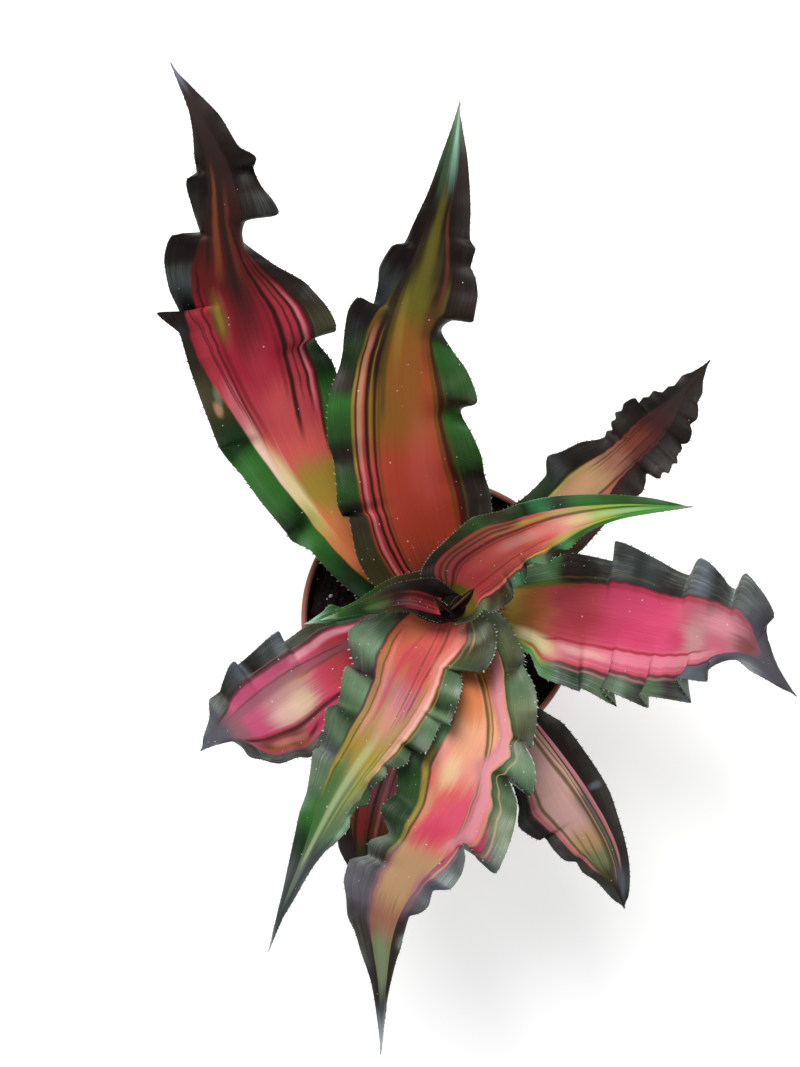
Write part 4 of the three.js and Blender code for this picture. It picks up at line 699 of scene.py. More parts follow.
LEAVES = (
    LeafPlan(
        name="leaf_front_low",
        markings=FRONT_LOW_MARKS,
        midrib=((0.6, -2.4, 81), (-5, -19.5, 84), (-11.5, -38.5, 87), (-17.5, -57, 89), (-21, -72.5, 90),
                (-24, -86.5, 88)),
        left=((0, 10), (0.15, 9), (0.3, 12), (0.45, 12, -1), (0.6, 14, 1), (0.75, 11, -1), (0.88, 7, 1)),
        right=((0, 12), (0.3, 14), (0.5, 13, 1), (0.65, 15, -1), (0.8, 12, 1), (0.9, 7)),
    ),
    LeafPlan(
        name="leaf_front_right",
        markings=FRONT_RIGHT_MARKS,
        midrib=((7.3, -1.3, 82.5), (22, -22.5, 86), (34, -39.5, 90), (43.5, -56.5, 92), (51.5, -74, 91),
                (58.5, -92, 87)),
        left=((0, 12), (0.15, 9), (0.29, 5), (0.37, 8), (0.46, 9), (0.6, 10), (0.7, 9), (0.78, 8),
              (0.86, 6.5), (0.96, 3)),
        right=((0, 12), (0.2, 14), (0.4, 16, -1), (0.53, 18.5, -3), (0.57, 21, 2), (0.61, 19.5, 3),
               (0.64, 17.5, 2, 0.5), (0.66, 15.5, -2), (0.7, 14.5, 1), (0.75, 12.5, 2), (0.78, 9.5),
               (0.82, 9, -1), (0.87, 6), (0.95, 3)),
    ),
    LeafPlan(
        name="leaf_back_right",
        markings=BACK_RIGHT_MARKS,
        midrib=((8.4, 10, 84), (25, 25.5, 88.5), (40.5, 38, 94), (55, 51, 98), (68, 64.5, 102),
                (82, 80.5, 102)),
        left=((0, 12), (0.15, 12), (0.28, 10, -1), (0.38, 11, -3), (0.44, 15.5, 5, -0.5), (0.47, 14, 3),
              (0.54, 12, 1), (0.61, 8, -2), (0.625, 8.8, -2), (0.64, 7.8, -3), (0.66, 10.2, 2),
              (0.675, 9.8, 1.5), (0.69, 11.3, 2.5), (0.71, 10.4, 2), (0.73, 11.4, 2.5),
              (0.75, 10.3, 2, 1.5), (0.77, 8, -1.5, -1), (0.785, 8.3), (0.8, 7.2, 0.5), (0.82, 7.4, 1),
              (0.84, 5, 0), (0.86, 4.8, 0.5), (0.88, 3.6), (0.91, 3.8), (0.94, 2.2)),
        right=((0, 12), (0.2, 15, -1), (0.31, 15, -2), (0.4, 13.5, -1), (0.51, 12, -2), (0.57, 13),
               (0.6, 11.5, -1), (0.62, 10, -4), (0.64, 13.2, 3), (0.66, 12.5, 2), (0.67, 13.8, 3),
               (0.7, 12.8, 2), (0.71, 13.6, 2.5), (0.725, 12.2, 1), (0.75, 12), (0.76, 10.8, -1),
               (0.775, 11.8, 0.5), (0.81, 10, 1.5), (0.82, 8.6, 0.5), (0.84, 8.8, 1.5), (0.87, 7, 1),
               (0.88, 6.1), (0.91, 5.1, 0.5), (0.94, 3), (0.97, 1.5)),
    ),
    LeafPlan(
        name="leaf_left",
        markings=LEFT_MARKS,
        midrib=((-3.4, 2.1, 86), (-21, -6, 92), (-37, -14, 99), (-49.5, -21.5, 106), (-60.5, -29, 112),
                (-72, -37, 115)),
        left=((0, 12), (0.2, 15), (0.4, 18, -2), (0.52, 20, -4), (0.6, 21.5, -5), (0.67, 19, -2),
              (0.74, 17.5, -4), (0.8, 13.5, -3), (0.83, 10, 1, 1), (0.85, 6, 2), (0.87, 3, -1),
              (0.94, 1.5)),
        right=((0, 12), (0.12, 11), (0.23, 9.5), (0.38, 14, 1), (0.46, 13, -4), (0.49, 17, 5),
               (0.61, 15.5, 1), (0.66, 15, -2), (0.69, 16.5, 4), (0.76, 13.5, 1), (0.79, 11.5, -2),
               (0.84, 11.5, 2), (0.89, 7), (0.96, 3)),
    ),
    LeafPlan(
        name="leaf_right",
        markings=RIGHT_MARKS,
        midrib=((9.8, 4.3, 87.5), (28, 2.5, 92), (46, 1, 98), (63.5, -2, 103), (79.5, -5.5, 106),
                (94.5, -10, 107), (108.5, -22.5, 102)),
        left=((0, 12), (0.08, 14), (0.16, 15), (0.24, 19, -2), (0.27, 20, 2), (0.36, 19, -3, 1.5),
              (0.38, 25, 5, -1.5), (0.47, 22, 1), (0.57, 19, -3, 0.5), (0.59, 24.5, 5, -0.5),
              (0.72, 18, -3, 0.5), (0.74, 23, 4, -1.5), (0.77, 20, 1), (0.8, 14, 3, 2), (0.82, 11, -2),
              (0.84, 7, 0, -1), (0.9, 2.5, 0, -1)),
        right=((0, 12), (0.1, 13), (0.18, 13, 1), (0.22, 20), (0.28, 22, -1), (0.31, 23, -3),
               (0.33, 21.5, 3), (0.4, 25.5, -4, 3.5), (0.42, 20.5, 4, -3), (0.51, 24, -4, 2),
               (0.53, 20, 4, -3), (0.62, 19.5, -3, 4), (0.64, 13, 4, -4), (0.68, 12, -2, 1.5),
               (0.7, 8.5, 2, -1.5), (0.73, 5, -1), (0.77, 3.5), (0.84, 4.8), (0.92, 3.2)),
    ),
    LeafPlan(
        name="leaf_back_left",
        markings=BACK_LEFT_MARKS,
        midrib=((-2.8, 8, 89.5), (-22, 18, 95), (-42.5, 43.5, 107), (-53, 67.5, 121), (-58.5, 87.5, 136),
                (-60.5, 106, 151), (-62, 125.5, 162), (-71, 146.5, 168)),
        left=((0, 11), (0.14, 11), (0.21, 11, 0, -1), (0.23, 14, -5, -0.5), (0.25, 13, 5), (0.29, 14, 2),
              (0.32, 15, 0, 0.5), (0.36, 18, -5, 1), (0.38, 17, 5, 0.5), (0.44, 17, 2), (0.48, 17, 0, 1),
              (0.56, 16.5, 1, 0.5), (0.59, 20, 6, 4.5), (0.6, 15.5, -4, -5), (0.63, 16.5), (0.68, 16, 2),
              (0.71, 12, 4, 4), (0.72, 6, -7, -1.5), (0.74, 6.5, -4, -1.5), (0.8, 7.5, 2), (0.82, 7, 3),
              (0.83, 5, -3, -1), (0.86, 4.5, 0, -1), (0.9, 2.5), (0.94, 1)),
        right=((0, 12), (0.15, 15, -1), (0.3, 19, -3), (0.43, 23, -2), (0.48, 20, -6), (0.51, 26.5, 3),
               (0.53, 27, 5), (0.61, 22, 1), (0.66, 12, -2), (0.69, 4, -8, 0.5), (0.735, 7, -4),
               (0.76, 17, 5), (0.78, 15.5, 6, 0.5), (0.8, 12, 1, 0.5), (0.82, 10.5, -3), (0.84, 12, 3, -1),
               (0.86, 8, 1, -1), (0.9, 6, 0, 0.5), (0.95, 3)),
    ),
    LeafPlan(
        name="leaf_front",
        markings=FRONT_MARKS,
        midrib=((6.2, -0.3, 91.5), (15.5, -15.5, 98), (15.5, -32, 108), (7.5, -48, 116),
                (-4.5, -64.5, 122), (-14, -83.5, 126), (-17, -101.5, 127), (-18.5, -122.5, 125)),
        left=((0, 12), (0.09, 13), (0.11, 12, 0, 0.5), (0.13, 11.5, 2, 2.5), (0.15, 10, -3),
              (0.17, 9.5, 4, -2), (0.19, 11.5, 2), (0.22, 12, 1, -1), (0.26, 12, 0, -1), (0.28, 12, -4, 1),
              (0.3, 9, 4), (0.32, 13, 2), (0.34, 15.5), (0.36, 17, -3, 1), (0.38, 8, 5, -1),
              (0.4, 13.5, 2), (0.43, 16, 1), (0.46, 18), (0.5, 20.5, -3, 3), (0.52, 15, -4, 0.5),
              (0.54, 7, 4, -2.5), (0.56, 10, 2, -2), (0.58, 11.5, 1), (0.61, 11), (0.63, 7, -3, 0.5),
              (0.66, 7, 2, -0.5), (0.68, 6, 1), (0.7, 3.5, -2), (0.76, 3.5), (0.81, 2.5), (0.87, 1.5)),
        right=((0, 12), (0.1, 18, -1), (0.2, 20, -2), (0.3, 20, -3), (0.4, 23, -3), (0.45, 25, -1),
               (0.52, 17, -5), (0.55, 19, -1), (0.58, 12.5, -5), (0.61, 17, -1), (0.63, 15, -5),
               (0.65, 19.5, -2), (0.68, 19, 2, -1), (0.7, 16.5), (0.73, 14, 1), (0.75, 11.5, -1),
               (0.79, 8.5), (0.87, 4), (0.93, 2)),
    ),
    LeafPlan(
        name="leaf_back",
        markings=BACK_MARKS,
        midrib=((0.1, 10.2, 93.5), (-6.5, 22, 99), (-12, 40.5, 111), (-13, 63, 125), (-12.5, 82.5, 138),
                (-7.5, 101, 150), (-2.5, 119.5, 158), (2.5, 138.5, 162)),
        left=((0, 12), (0.1, 17), (0.19, 20), (0.22, 19), (0.24, 18, -2, 2.5), (0.26, 20, -5, -2),
              (0.28, 20, 3, 1), (0.31, 19.5, 2), (0.34, 20, -3, -1), (0.39, 21, 4, -1), (0.43, 21, 3),
              (0.46, 20), (0.5, 17, -5), (0.55, 16, 2), (0.58, 15.5, 4, 3.5), (0.6, 13.5, 5, 5),
              (0.62, 9.5, -4, -4), (0.65, 9.5, 1), (0.68, 10, 3), (0.7, 9, 4, 1.5), (0.72, 8, 3, 1),
              (0.74, 5.5, -3, -2), (0.78, 4, 0, 0.5), (0.84, 2.5), (0.91, 1.5)),
        right=((0, 12), (0.12, 20), (0.24, 26), (0.28, 25, -2), (0.35, 24, 3, -1), (0.38, 21, 0, 1),
               (0.41, 18, -5), (0.445, 21.8, 3), (0.46, 22, 5, -1), (0.5, 19.5, 1), (0.54, 15, -2),
               (0.57, 11, -7), (0.61, 13, -3), (0.64, 18.8, 4), (0.66, 18.5, 6), (0.68, 18, 3),
               (0.7, 16, 1, 1), (0.72, 14, -1), (0.75, 14, 2, 0.5), (0.77, 12, 0, -0.5), (0.82, 10),
               (0.9, 6, 0, 0.5), (0.96, 2.5)),
    ),
    LeafPlan(
        name="leaf_front_left",
        markings=FRONT_LEFT_MARKS,
        midrib=((0.7, 0, 95.5), (-4, -10, 103), (-10, -20, 112), (-18.5, -33, 121), (-29.5, -48.5, 128),
                (-39, -65, 131), (-46, -79, 131), (-50.5, -92, 128)),
        left=((0, 12), (0.06, 17), (0.11, 23), (0.13, 24, 1, 3.5), (0.15, 19.5, 3, 6), (0.17, 11, -4, -5),
              (0.2, 13), (0.25, 14, 2), (0.3, 14.5, 4, 2.5), (0.32, 13, -4, -2.5), (0.36, 13),
              (0.39, 12.5, 4, 1.5), (0.41, 9.5, -3, -1.5), (0.43, 10), (0.45, 8, 3, 1.5),
              (0.47, 6, -3, -1.5), (0.48, 7), (0.51, 5.5, 3, 0.5), (0.52, 6, -2), (0.55, 7, 1),
              (0.57, 5, 1), (0.59, 5, -1), (0.61, 6, 1), (0.65, 5), (0.68, 3.5), (0.73, 2.5), (0.82, 2),
              (0.9, 1)),
        right=((0, 11), (0.08, 16), (0.17, 23, -2), (0.26, 28, -4), (0.29, 23.5, -2), (0.31, 19, -3),
               (0.34, 21, 4, 0.5), (0.36, 20, 2), (0.4, 17, -3), (0.44, 19, 4, 0.5), (0.48, 16, 1),
               (0.51, 14, -2), (0.53, 15, 2, -1), (0.55, 13, 1), (0.6, 10, 0, -0.5), (0.63, 9, 0, 0.5),
               (0.68, 7), (0.75, 4.5), (0.82, 2.5), (0.9, 1.2)),
    ),
    LeafPlan(
        name="leaf_heart_lower",
        markings=HEART_LOWER_MARKS,
        midrib=((-2, 5.5, 98.5), (-14, 7, 107), (-27.5, 4, 114), (-41, 0.8, 118)),
        left=((0, 8), (0.15, 5), (0.3, 2.5), (0.6, 2.5), (0.8, 2), (0.92, 1)),
        right=((0, 8), (0.18, 12), (0.3, 9), (0.4, 7), (0.5, 5), (0.6, 3.5), (0.72, 2.5), (0.8, 4, 1.5),
               (0.86, 2.5), (0.94, 1.2)),
    ),
    LeafPlan(
        name="leaf_young_right",
        markings=YOUNG_RIGHT_MARKS,
        midrib=((6.2, 8.4, 101), (12, 14.5, 109), (20.5, 21.5, 120), (32.5, 28, 128), (49, 32.5, 132),
                (70.5, 35, 129)),
        left=((0, 9), (0.1, 14), (0.17, 20), (0.21, 21.5), (0.25, 20.5), (0.29, 18.5), (0.34, 17.5),
              (0.38, 17), (0.42, 15), (0.48, 13, 1), (0.51, 12.5, -1), (0.54, 12, 1), (0.61, 10.5),
              (0.7, 8.5), (0.81, 6), (0.89, 4)),
        right=((0, 11, 3, 2), (0.05, 10, 3, 3), (0.12, 8.5, 2, 0.5), (0.2, 11.5, 1), (0.25, 12),
               (0.28, 11, 1, 2.5), (0.3, 8, -3, -2), (0.33, 9, 1), (0.39, 9, 3, 1), (0.41, 6, -2, -1),
               (0.44, 5, 2, 0.5), (0.52, 7.5, 2), (0.56, 5, -1), (0.61, 6, 1), (0.65, 4.5), (0.72, 2.5),
               (0.8, 1.5), (0.9, 1)),
    ),
    LeafPlan(
        name="leaf_heart_upper",
        markings=HEART_UPPER_MARKS,
        midrib=((-1.3, 6.1, 103), (-12, 9, 113), (-23.5, 6.2, 119), (-36, 2.2, 121)),
        left=((0, 8), (0.08, 6.5, 1), (0.2, 5.5, 1), (0.4, 5.2), (0.57, 4), (0.73, 2.5), (0.88, 1.5)),
        right=((0, 6.5, 1), (0.1, 7.5, 1), (0.18, 8, 1), (0.25, 6.5, 1), (0.32, 5, 1), (0.42, 4),
               (0.57, 2.7), (0.73, 1.5), (0.9, 0.8)),
    ),
)

BUDS = (
    LeafPlan(
        name="bud_right",
        markings=BUD_MARKS,
        midrib=((4, 5.6, 104.4), (4.9, 7.2, 110), (6.6, 9.3, 117), (8.4, 11.3, 123)),
        left=((0, 2.2), (0.4, 2.1, 0.6), (0.75, 1.3, 0.5)),
        right=((0, 2.2), (0.4, 2.1, 0.6), (0.75, 1.3, 0.5)),
    ),
    LeafPlan(
        name="bud_left",
        markings=BUD_MARKS,
        midrib=((0.7, 4.8, 104.4), (-0.3, 5.9, 109), (-1.8, 7.3, 115), (-3.1, 9, 120)),
        left=((0, 1.5), (0.4, 1.4, 0.4), (0.75, 0.8, 0.3)),
        right=((0, 1.5), (0.4, 1.4, 0.4), (0.75, 0.8, 0.3)),
    ),
)


class NodeSheet:
    """Adds nodes to one node tree and joins them up."""

    def __init__(self, tree: bpy.types.NodeTree) -> None:
        """Starts on a tree."""
        self.tree = tree

    def add(self, kind: str, feeds: dict[Union[int, str], Feed] | None = None,
            **settings: object) -> bpy.types.Node:
        """Adds one node.

        Args:
            kind: the node's type name.
            feeds: for each input, by name or number, a socket to link or a value to set.
            **settings: properties of the node itself.

        Returns:
            The new node.
        """
        node = self.tree.nodes.new(kind)
        for key, value in settings.items():
            setattr(node, key, value)
        for key, value in (feeds or {}).items():
            self.feed(node.inputs[key], value)
        return node

    def feed(self, socket: Socket, value: Feed) -> None:
        """Links a socket to an input, or sets the input's value.

        Args:
            socket: the input.
            value: an output socket, a tint, or plain numbers.
        """
        if isinstance(value, Socket):
            self.tree.links.new(value, socket)
        elif isinstance(value, Tint):
            socket.default_value = value.rgba
        else:
            socket.default_value = value

    def math(self, operation: str, a: Feed, b: Feed = 0.0, c: Feed = 0.0, clamp: bool = False) -> Socket:
        """Result of one Math node, kept between 0 and 1 if clamp is set."""
        feeds = {0: a, 1: b, 2: c}
        return self.add("ShaderNodeMath", feeds, operation=operation, use_clamp=clamp).outputs[0]

    def times(self, a: Feed, b: Feed, clamp: bool = False) -> Socket:
        """Product of a and b."""
        return self.math("MULTIPLY", a, b, clamp=clamp)

    def times_plus(self, a: Feed, b: Feed, c: Feed, clamp: bool = False) -> Socket:
        """Product of a and b, with c added."""
        return self.math("MULTIPLY_ADD", a, b, c, clamp)

    def less(self, a: Feed, b: Feed) -> Socket:
        """Value a less b."""
        return self.math("SUBTRACT", a, b)

    def over(self, a: Feed, b: Feed, clamp: bool = False) -> Socket:
        """Value a divided by b."""
        return self.math("DIVIDE", a, b, clamp=clamp)

    def rise(self, value: Feed, start: Feed, end: Feed) -> Socket:
        """Smooth rise from 0 at start to 1 at end, or fall where start is the larger."""
        feeds = {0: value, 1: start, 2: end, 3: 0.0, 4: 1.0}
        return self.add("ShaderNodeMapRange", feeds, interpolation_type="SMOOTHSTEP").outputs[0]

    def blend(self, share: Feed, below: Feed, above: Feed, mode: str = "MIX") -> Socket:
        """Colour below with a share of the colour above, mixed in the way that mode names."""
        feeds = {0: share, 6: below, 7: above}
        return self.add("ShaderNodeMix", feeds, data_type="RGBA", blend_type=mode).outputs[2]

    def point(self, x: Feed, y: Feed, z: Feed) -> Socket:
        """Three values joined to a vector."""
        return self.add("ShaderNodeCombineXYZ", {0: x, 1: y, 2: z}).outputs[0]

    def noise(self, vector: Feed, scale: float, detail: float = 3.0, rough: float = 0.5) -> Socket:
        """Cloudy value between 0 and 1, with detail finer layers, each rough times as strong."""
        feeds = {"Vector": vector, "Scale": scale, "Detail": detail, "Roughness": rough}
        return self.add("ShaderNodeTexNoise", feeds).outputs[0]

    def ramp(self, value: Feed, stops: Sequence[tuple[float, tuple]], way: str) -> Socket:
        """Colour that follows a list of stops.

        Args:
            value: place among the stops.
            stops: pairs of a place and a colour, places rising.
            way: Blender's name of how it runs between stops.

        Returns:
            The colour's socket.
        """
        node = self.add("ShaderNodeValToRGB", {0: value})
        node.color_ramp.interpolation = way
        elements = node.color_ramp.elements
        elements[0].position, elements[0].color = stops[0]
        elements[1].position, elements[1].color = stops[-1]
        for place, colour in stops[1:-1]:
            elements.new(place).color = colour
        return node.outputs[0]

    def tints(self, value: Feed, stops: Stops) -> Socket:
        """Ramp through tints, given as pairs of a place and a tint."""
        return self.ramp(value, [(place, tint.rgba) for place, tint in stops], "EASE")

    def levels(self, value: Feed, stops: Places) -> Socket:
        """Ramp through plain values between 0 and 1, given as pairs of a place and a value."""
        greys = [(place, (level, level, level, 1.0)) for place, level in stops]
        return self.ramp(value, greys, "CARDINAL")


class Effect:
    """A shader node group with named inputs and outputs, which finishes place with their own values."""

    def __init__(self, name: str, inputs: dict[str, Rest], outputs: dict[str, Rest]) -> None:
        """Makes the empty group.

        Args:
            name: the group's name.
            inputs: resting value of each input by name: a number, a colour, or None for a vector.
            outputs: the outputs in the same way.
        """
        self.tree = bpy.data.node_groups.new(name, "ShaderNodeTree")
        for direction, sockets in (("INPUT", inputs), ("OUTPUT", outputs)):
            for key, rest in sockets.items():
                kind = SOCKET_KINDS[type(rest)]
                socket = self.tree.interface.new_socket(name=key, in_out=direction, socket_type=kind)
                if rest is not None and direction == "INPUT":
                    socket.default_value = rest
        self.sheet = NodeSheet(self.tree)
        self.given = self.tree.nodes.new("NodeGroupInput").outputs
        self.result = self.tree.nodes.new("NodeGroupOutput").inputs

    def place(self, sheet: NodeSheet, feeds: dict[str, Feed]) -> bpy.types.NodeOutputs:
        """Puts the group in a material.

        Args:
            sheet: the material's node sheet.
            feeds: for each input by name, a socket or a value.

        Returns:
            The placed group's outputs.
        """
        node = sheet.tree.nodes.new("ShaderNodeGroup")
        node.node_tree = self.tree
        for key, value in feeds.items():
            sheet.feed(node.inputs[key], value)
        return node.outputs


class Effects:
    """The shader node groups that the finishes share, each built once."""

    def __init__(self) -> None:
        """Builds every group."""
        self.blade_place = self._blade_place()
        self.stripe = self._stripe()
        self.cloud = self._cloud()
        self.grain = self._grain()
        self.scurf = self._scurf()
        self.specks = self._specks()

    @staticmethod
    def _blade_place() -> Effect:
        """Place on a blade: along it from 0 to 1 and across it from -1 to 1, a little wavering.

        Returns:
            The finished group.
        """
        effect = Effect(
            "blade place",
            {"UV": None, "Seed": 0.0, "Waver": 0.03},
            {"Along": 0.0, "Frayed": 0.0, "Across": 0.0, "Streaks": None},
        )
        s, given = effect.sheet, effect.given
        parts = s.add("ShaderNodeSeparateXYZ", {0: given["UV"]}).outputs
        along = parts[1]
        across = s.times_plus(parts[0], 2.0, -1.0)
        slow_across, slow_along = 1.6, 7.0
        slow = s.point(s.times(across, slow_across), s.times(along, slow_along), given["Seed"])
        drift = s.less(s.noise(slow, scale=1.0, detail=2.0), 0.5)
        wavering = s.times_plus(drift, given["Waver"], across)
        fine_across, fine_along = 52.0, 5.0
        streaks = s.point(s.times(wavering, fine_across), s.times(along, fine_along), given["Seed"])
        patches = s.less(s.noise(slow, scale=2.3, detail=2.0), 0.5)
        fibres = s.less(s.noise(streaks, scale=0.5, detail=2.0), 0.5)
        patch_shift, fibre_shift = 0.03, 0.06
        even = s.times_plus(patches, patch_shift, along)
        s.feed(effect.result["Along"], even)
        s.feed(effect.result["Frayed"], s.times_plus(fibres, fibre_shift, even))
        s.feed(effect.result["Across"], wavering)
        s.feed(effect.result["Streaks"], streaks)
        return effect

    @staticmethod
    def _stripe() -> Effect:
        """A soft-edged lengthwise stripe that bends from one place across the blade to another.

        Returns:
            The finished group.
        """
        effect = Effect(
            "leaf stripe",
            {"Below": GREY, "Tint": GREY, "Along": 0.0, "Across": 0.0, "Start": 0.0, "End": 0.0, "Bow": 0.0,
             "Half Width": 0.05, "Begins": 0.0, "Ends": 1.0, "Strength": 1.0},
            {"Color": GREY},
        )
        s, given = effect.sheet, effect.given
        after = s.less(given["Along"], given["Begins"])
        before = s.less(given["Ends"], given["Along"])
        run = s.over(after, s.less(given["Ends"], given["Begins"]), clamp=True)
        swing = s.times(run, s.less(1.0, run))
        swing = s.times(swing, s.times(given["Bow"], 4.0))
        slope = s.less(given["End"], given["Start"])
        middle = s.math("ADD", s.times_plus(run, slope, given["Start"]), swing)
        off = s.math("ABSOLUTE", s.less(given["Across"], middle))
        beside = s.rise(s.over(off, given["Half Width"]), start=1.5, end=0.3)
        outer, inner = -0.02, 0.045
        fade = s.times(s.rise(after, outer, inner), s.rise(before, outer, inner))
        share = s.times(s.times(beside, fade), given["Strength"])
        s.feed(effect.result["Color"], s.blend(share, given["Below"], given["Tint"]))
        return effect

    @staticmethod
    def _cloud() -> Effect:
        """A soft oval patch of colour.

        Returns:
            The finished group.
        """
        effect = Effect(
            "leaf cloud",
            {"Below": GREY, "Tint": GREY, "Along": 0.0, "Across": 0.0, "Middle Along": 0.0,
             "Middle Across": 0.0, "Half Length": 0.1, "Half Width": 0.3, "Strength": 1.0},
            {"Color": GREY},
        )
        s, given = effect.sheet, effect.given
        along = s.over(s.less(given["Along"], given["Middle Along"]), given["Half Length"])
        across = s.over(s.less(given["Across"], given["Middle Across"]), given["Half Width"])
        far = s.math("SQRT", s.times_plus(along, along, s.times(across, across)))
        share = s.times(s.rise(far, start=1.3, end=0.3), given["Strength"])
        s.feed(effect.result["Color"], s.blend(share, given["Below"], given["Tint"]))
        return effect

    @staticmethod
    def _grain() -> Effect:
        """Fine lengthwise lines of a blade, as a shade round 1 and as a height.

        Returns:
            The finished group.
        """
        effect = Effect("lengthwise grain", {"Streaks": None, "Depth": 0.2}, {"Shade": 0.0, "Height": 0.0})
        s, given = effect.sheet, effect.given
        lines = s.noise(given["Streaks"], scale=1.0, detail=4.0, rough=0.62)
        fine = s.noise(given["Streaks"], scale=3.1, detail=2.0)
        line_share, fine_share = 0.55, 0.45
        both = s.times_plus(fine, fine_share, s.times(lines, line_share))
        shade = s.times_plus(s.less(both, 0.5), given["Depth"], 1.0)
        s.feed(effect.result["Shade"], shade)
        s.feed(effect.result["Height"], both)
        return effect

    @staticmethod
    def _scurf() -> Effect:
        """Silvery scales, thickest in streaks, as a share of cover, which in the leaves' skins also holds
        painted sheen.

        Returns:
            The finished group.
        """
        effect = Effect("silvery scales", {"Streaks": None, "Point": None, "Cover": 0.4}, {"Share": 0.0})
        s, given = effect.sheet, effect.given
        streaks = s.rise(s.noise(given["Streaks"], scale=1.7, detail=4.0, rough=0.6), start=0.42, end=0.72)
        clouds = s.rise(s.noise(given["Point"], scale=90.0, detail=2.0), start=0.38, end=0.66)
        flecks = s.noise(given["Point"], scale=2600.0, detail=1.0)
        between_streaks, between_clouds, between_flecks = 0.3, 0.2, 0.6
        cover = s.times_plus(streaks, 1.0 - between_streaks, between_streaks)
        cover = s.times(cover, s.times_plus(clouds, 1.0 - between_clouds, between_clouds))
        cover = s.times(cover, s.times_plus(flecks, 0.8, between_flecks))
        s.feed(effect.result["Share"], s.times(cover, given["Cover"], clamp=True))
        return effect

    @staticmethod
    def _specks() -> Effect:
        """Scattered pale specks of dust and lime, as a mask.

        Returns:
            The finished group.
        """
        effect = Effect("pale specks", {"Point": None, "Cells": 560.0, "Amount": 0.5}, {"Mask": 0.0})
        s, given = effect.sheet, effect.given
        cells = s.add("ShaderNodeTexVoronoi", {"Vector": given["Point"], "Scale": given["Cells"]})
        chance = s.add("ShaderNodeSeparateColor", {0: cells.outputs["Color"]}).outputs
        smallest, spread = 0.05, 0.11
        size = s.times_plus(s.math("POWER", chance[1], 3.0), spread, smallest)
        present = s.math("LESS_THAN", chance[0], given["Amount"])
        dot = s.rise(s.over(cells.outputs["Distance"], size), start=1.2, end=0.5)
        s.feed(effect.result["Mask"], s.times(dot, present))
        return effect


@dataclass(frozen=True)
class Surface:
    """The constant shader values of one finish."""

    roughness: float = 0.5
    specular: float = 0.5
    glow: float = 0.0
    bump: float = 0.2
    bump_depth: float = 0.0002


def new_material(name: str) -> tuple[bpy.types.Material, NodeSheet]:
    """An empty node material.

    Args:
        name: the material's name.

    Returns:
        The material, and a sheet on its empty tree.
    """
    material = bpy.data.materials.new(name)
    material.use_nodes = True
    material.node_tree.nodes.clear()
    return material, NodeSheet(material.node_tree)


def finish_shader(sheet: NodeSheet, surface: Surface, colour: Feed, roughness: Feed, height: Feed) -> None:
    """Ends a material with its shader and its output.

    Args:
        sheet: the material's node sheet.
        surface: the constant values.
        colour: the base colour.
        roughness: the roughness, which changes over the surface.
        height: the height that the bump follows.
    """
    feeds: dict[Union[int, str], Feed] = {
        "Base Color": colour,
        "Roughness": roughness,
        "Specular IOR Level": surface.specular,
        "Emission Color": colour,
        "Emission Strength": surface.glow,
    }
    shader = sheet.add("ShaderNodeBsdfPrincipled", feeds)
    relief = {"Strength": surface.bump, "Distance": surface.bump_depth, "Height": height}
    sheet.feed(shader.inputs["Normal"], sheet.add("ShaderNodeBump", relief).outputs[0])
    sheet.add("ShaderNodeOutputMaterial", {0: shader.outputs[0]})


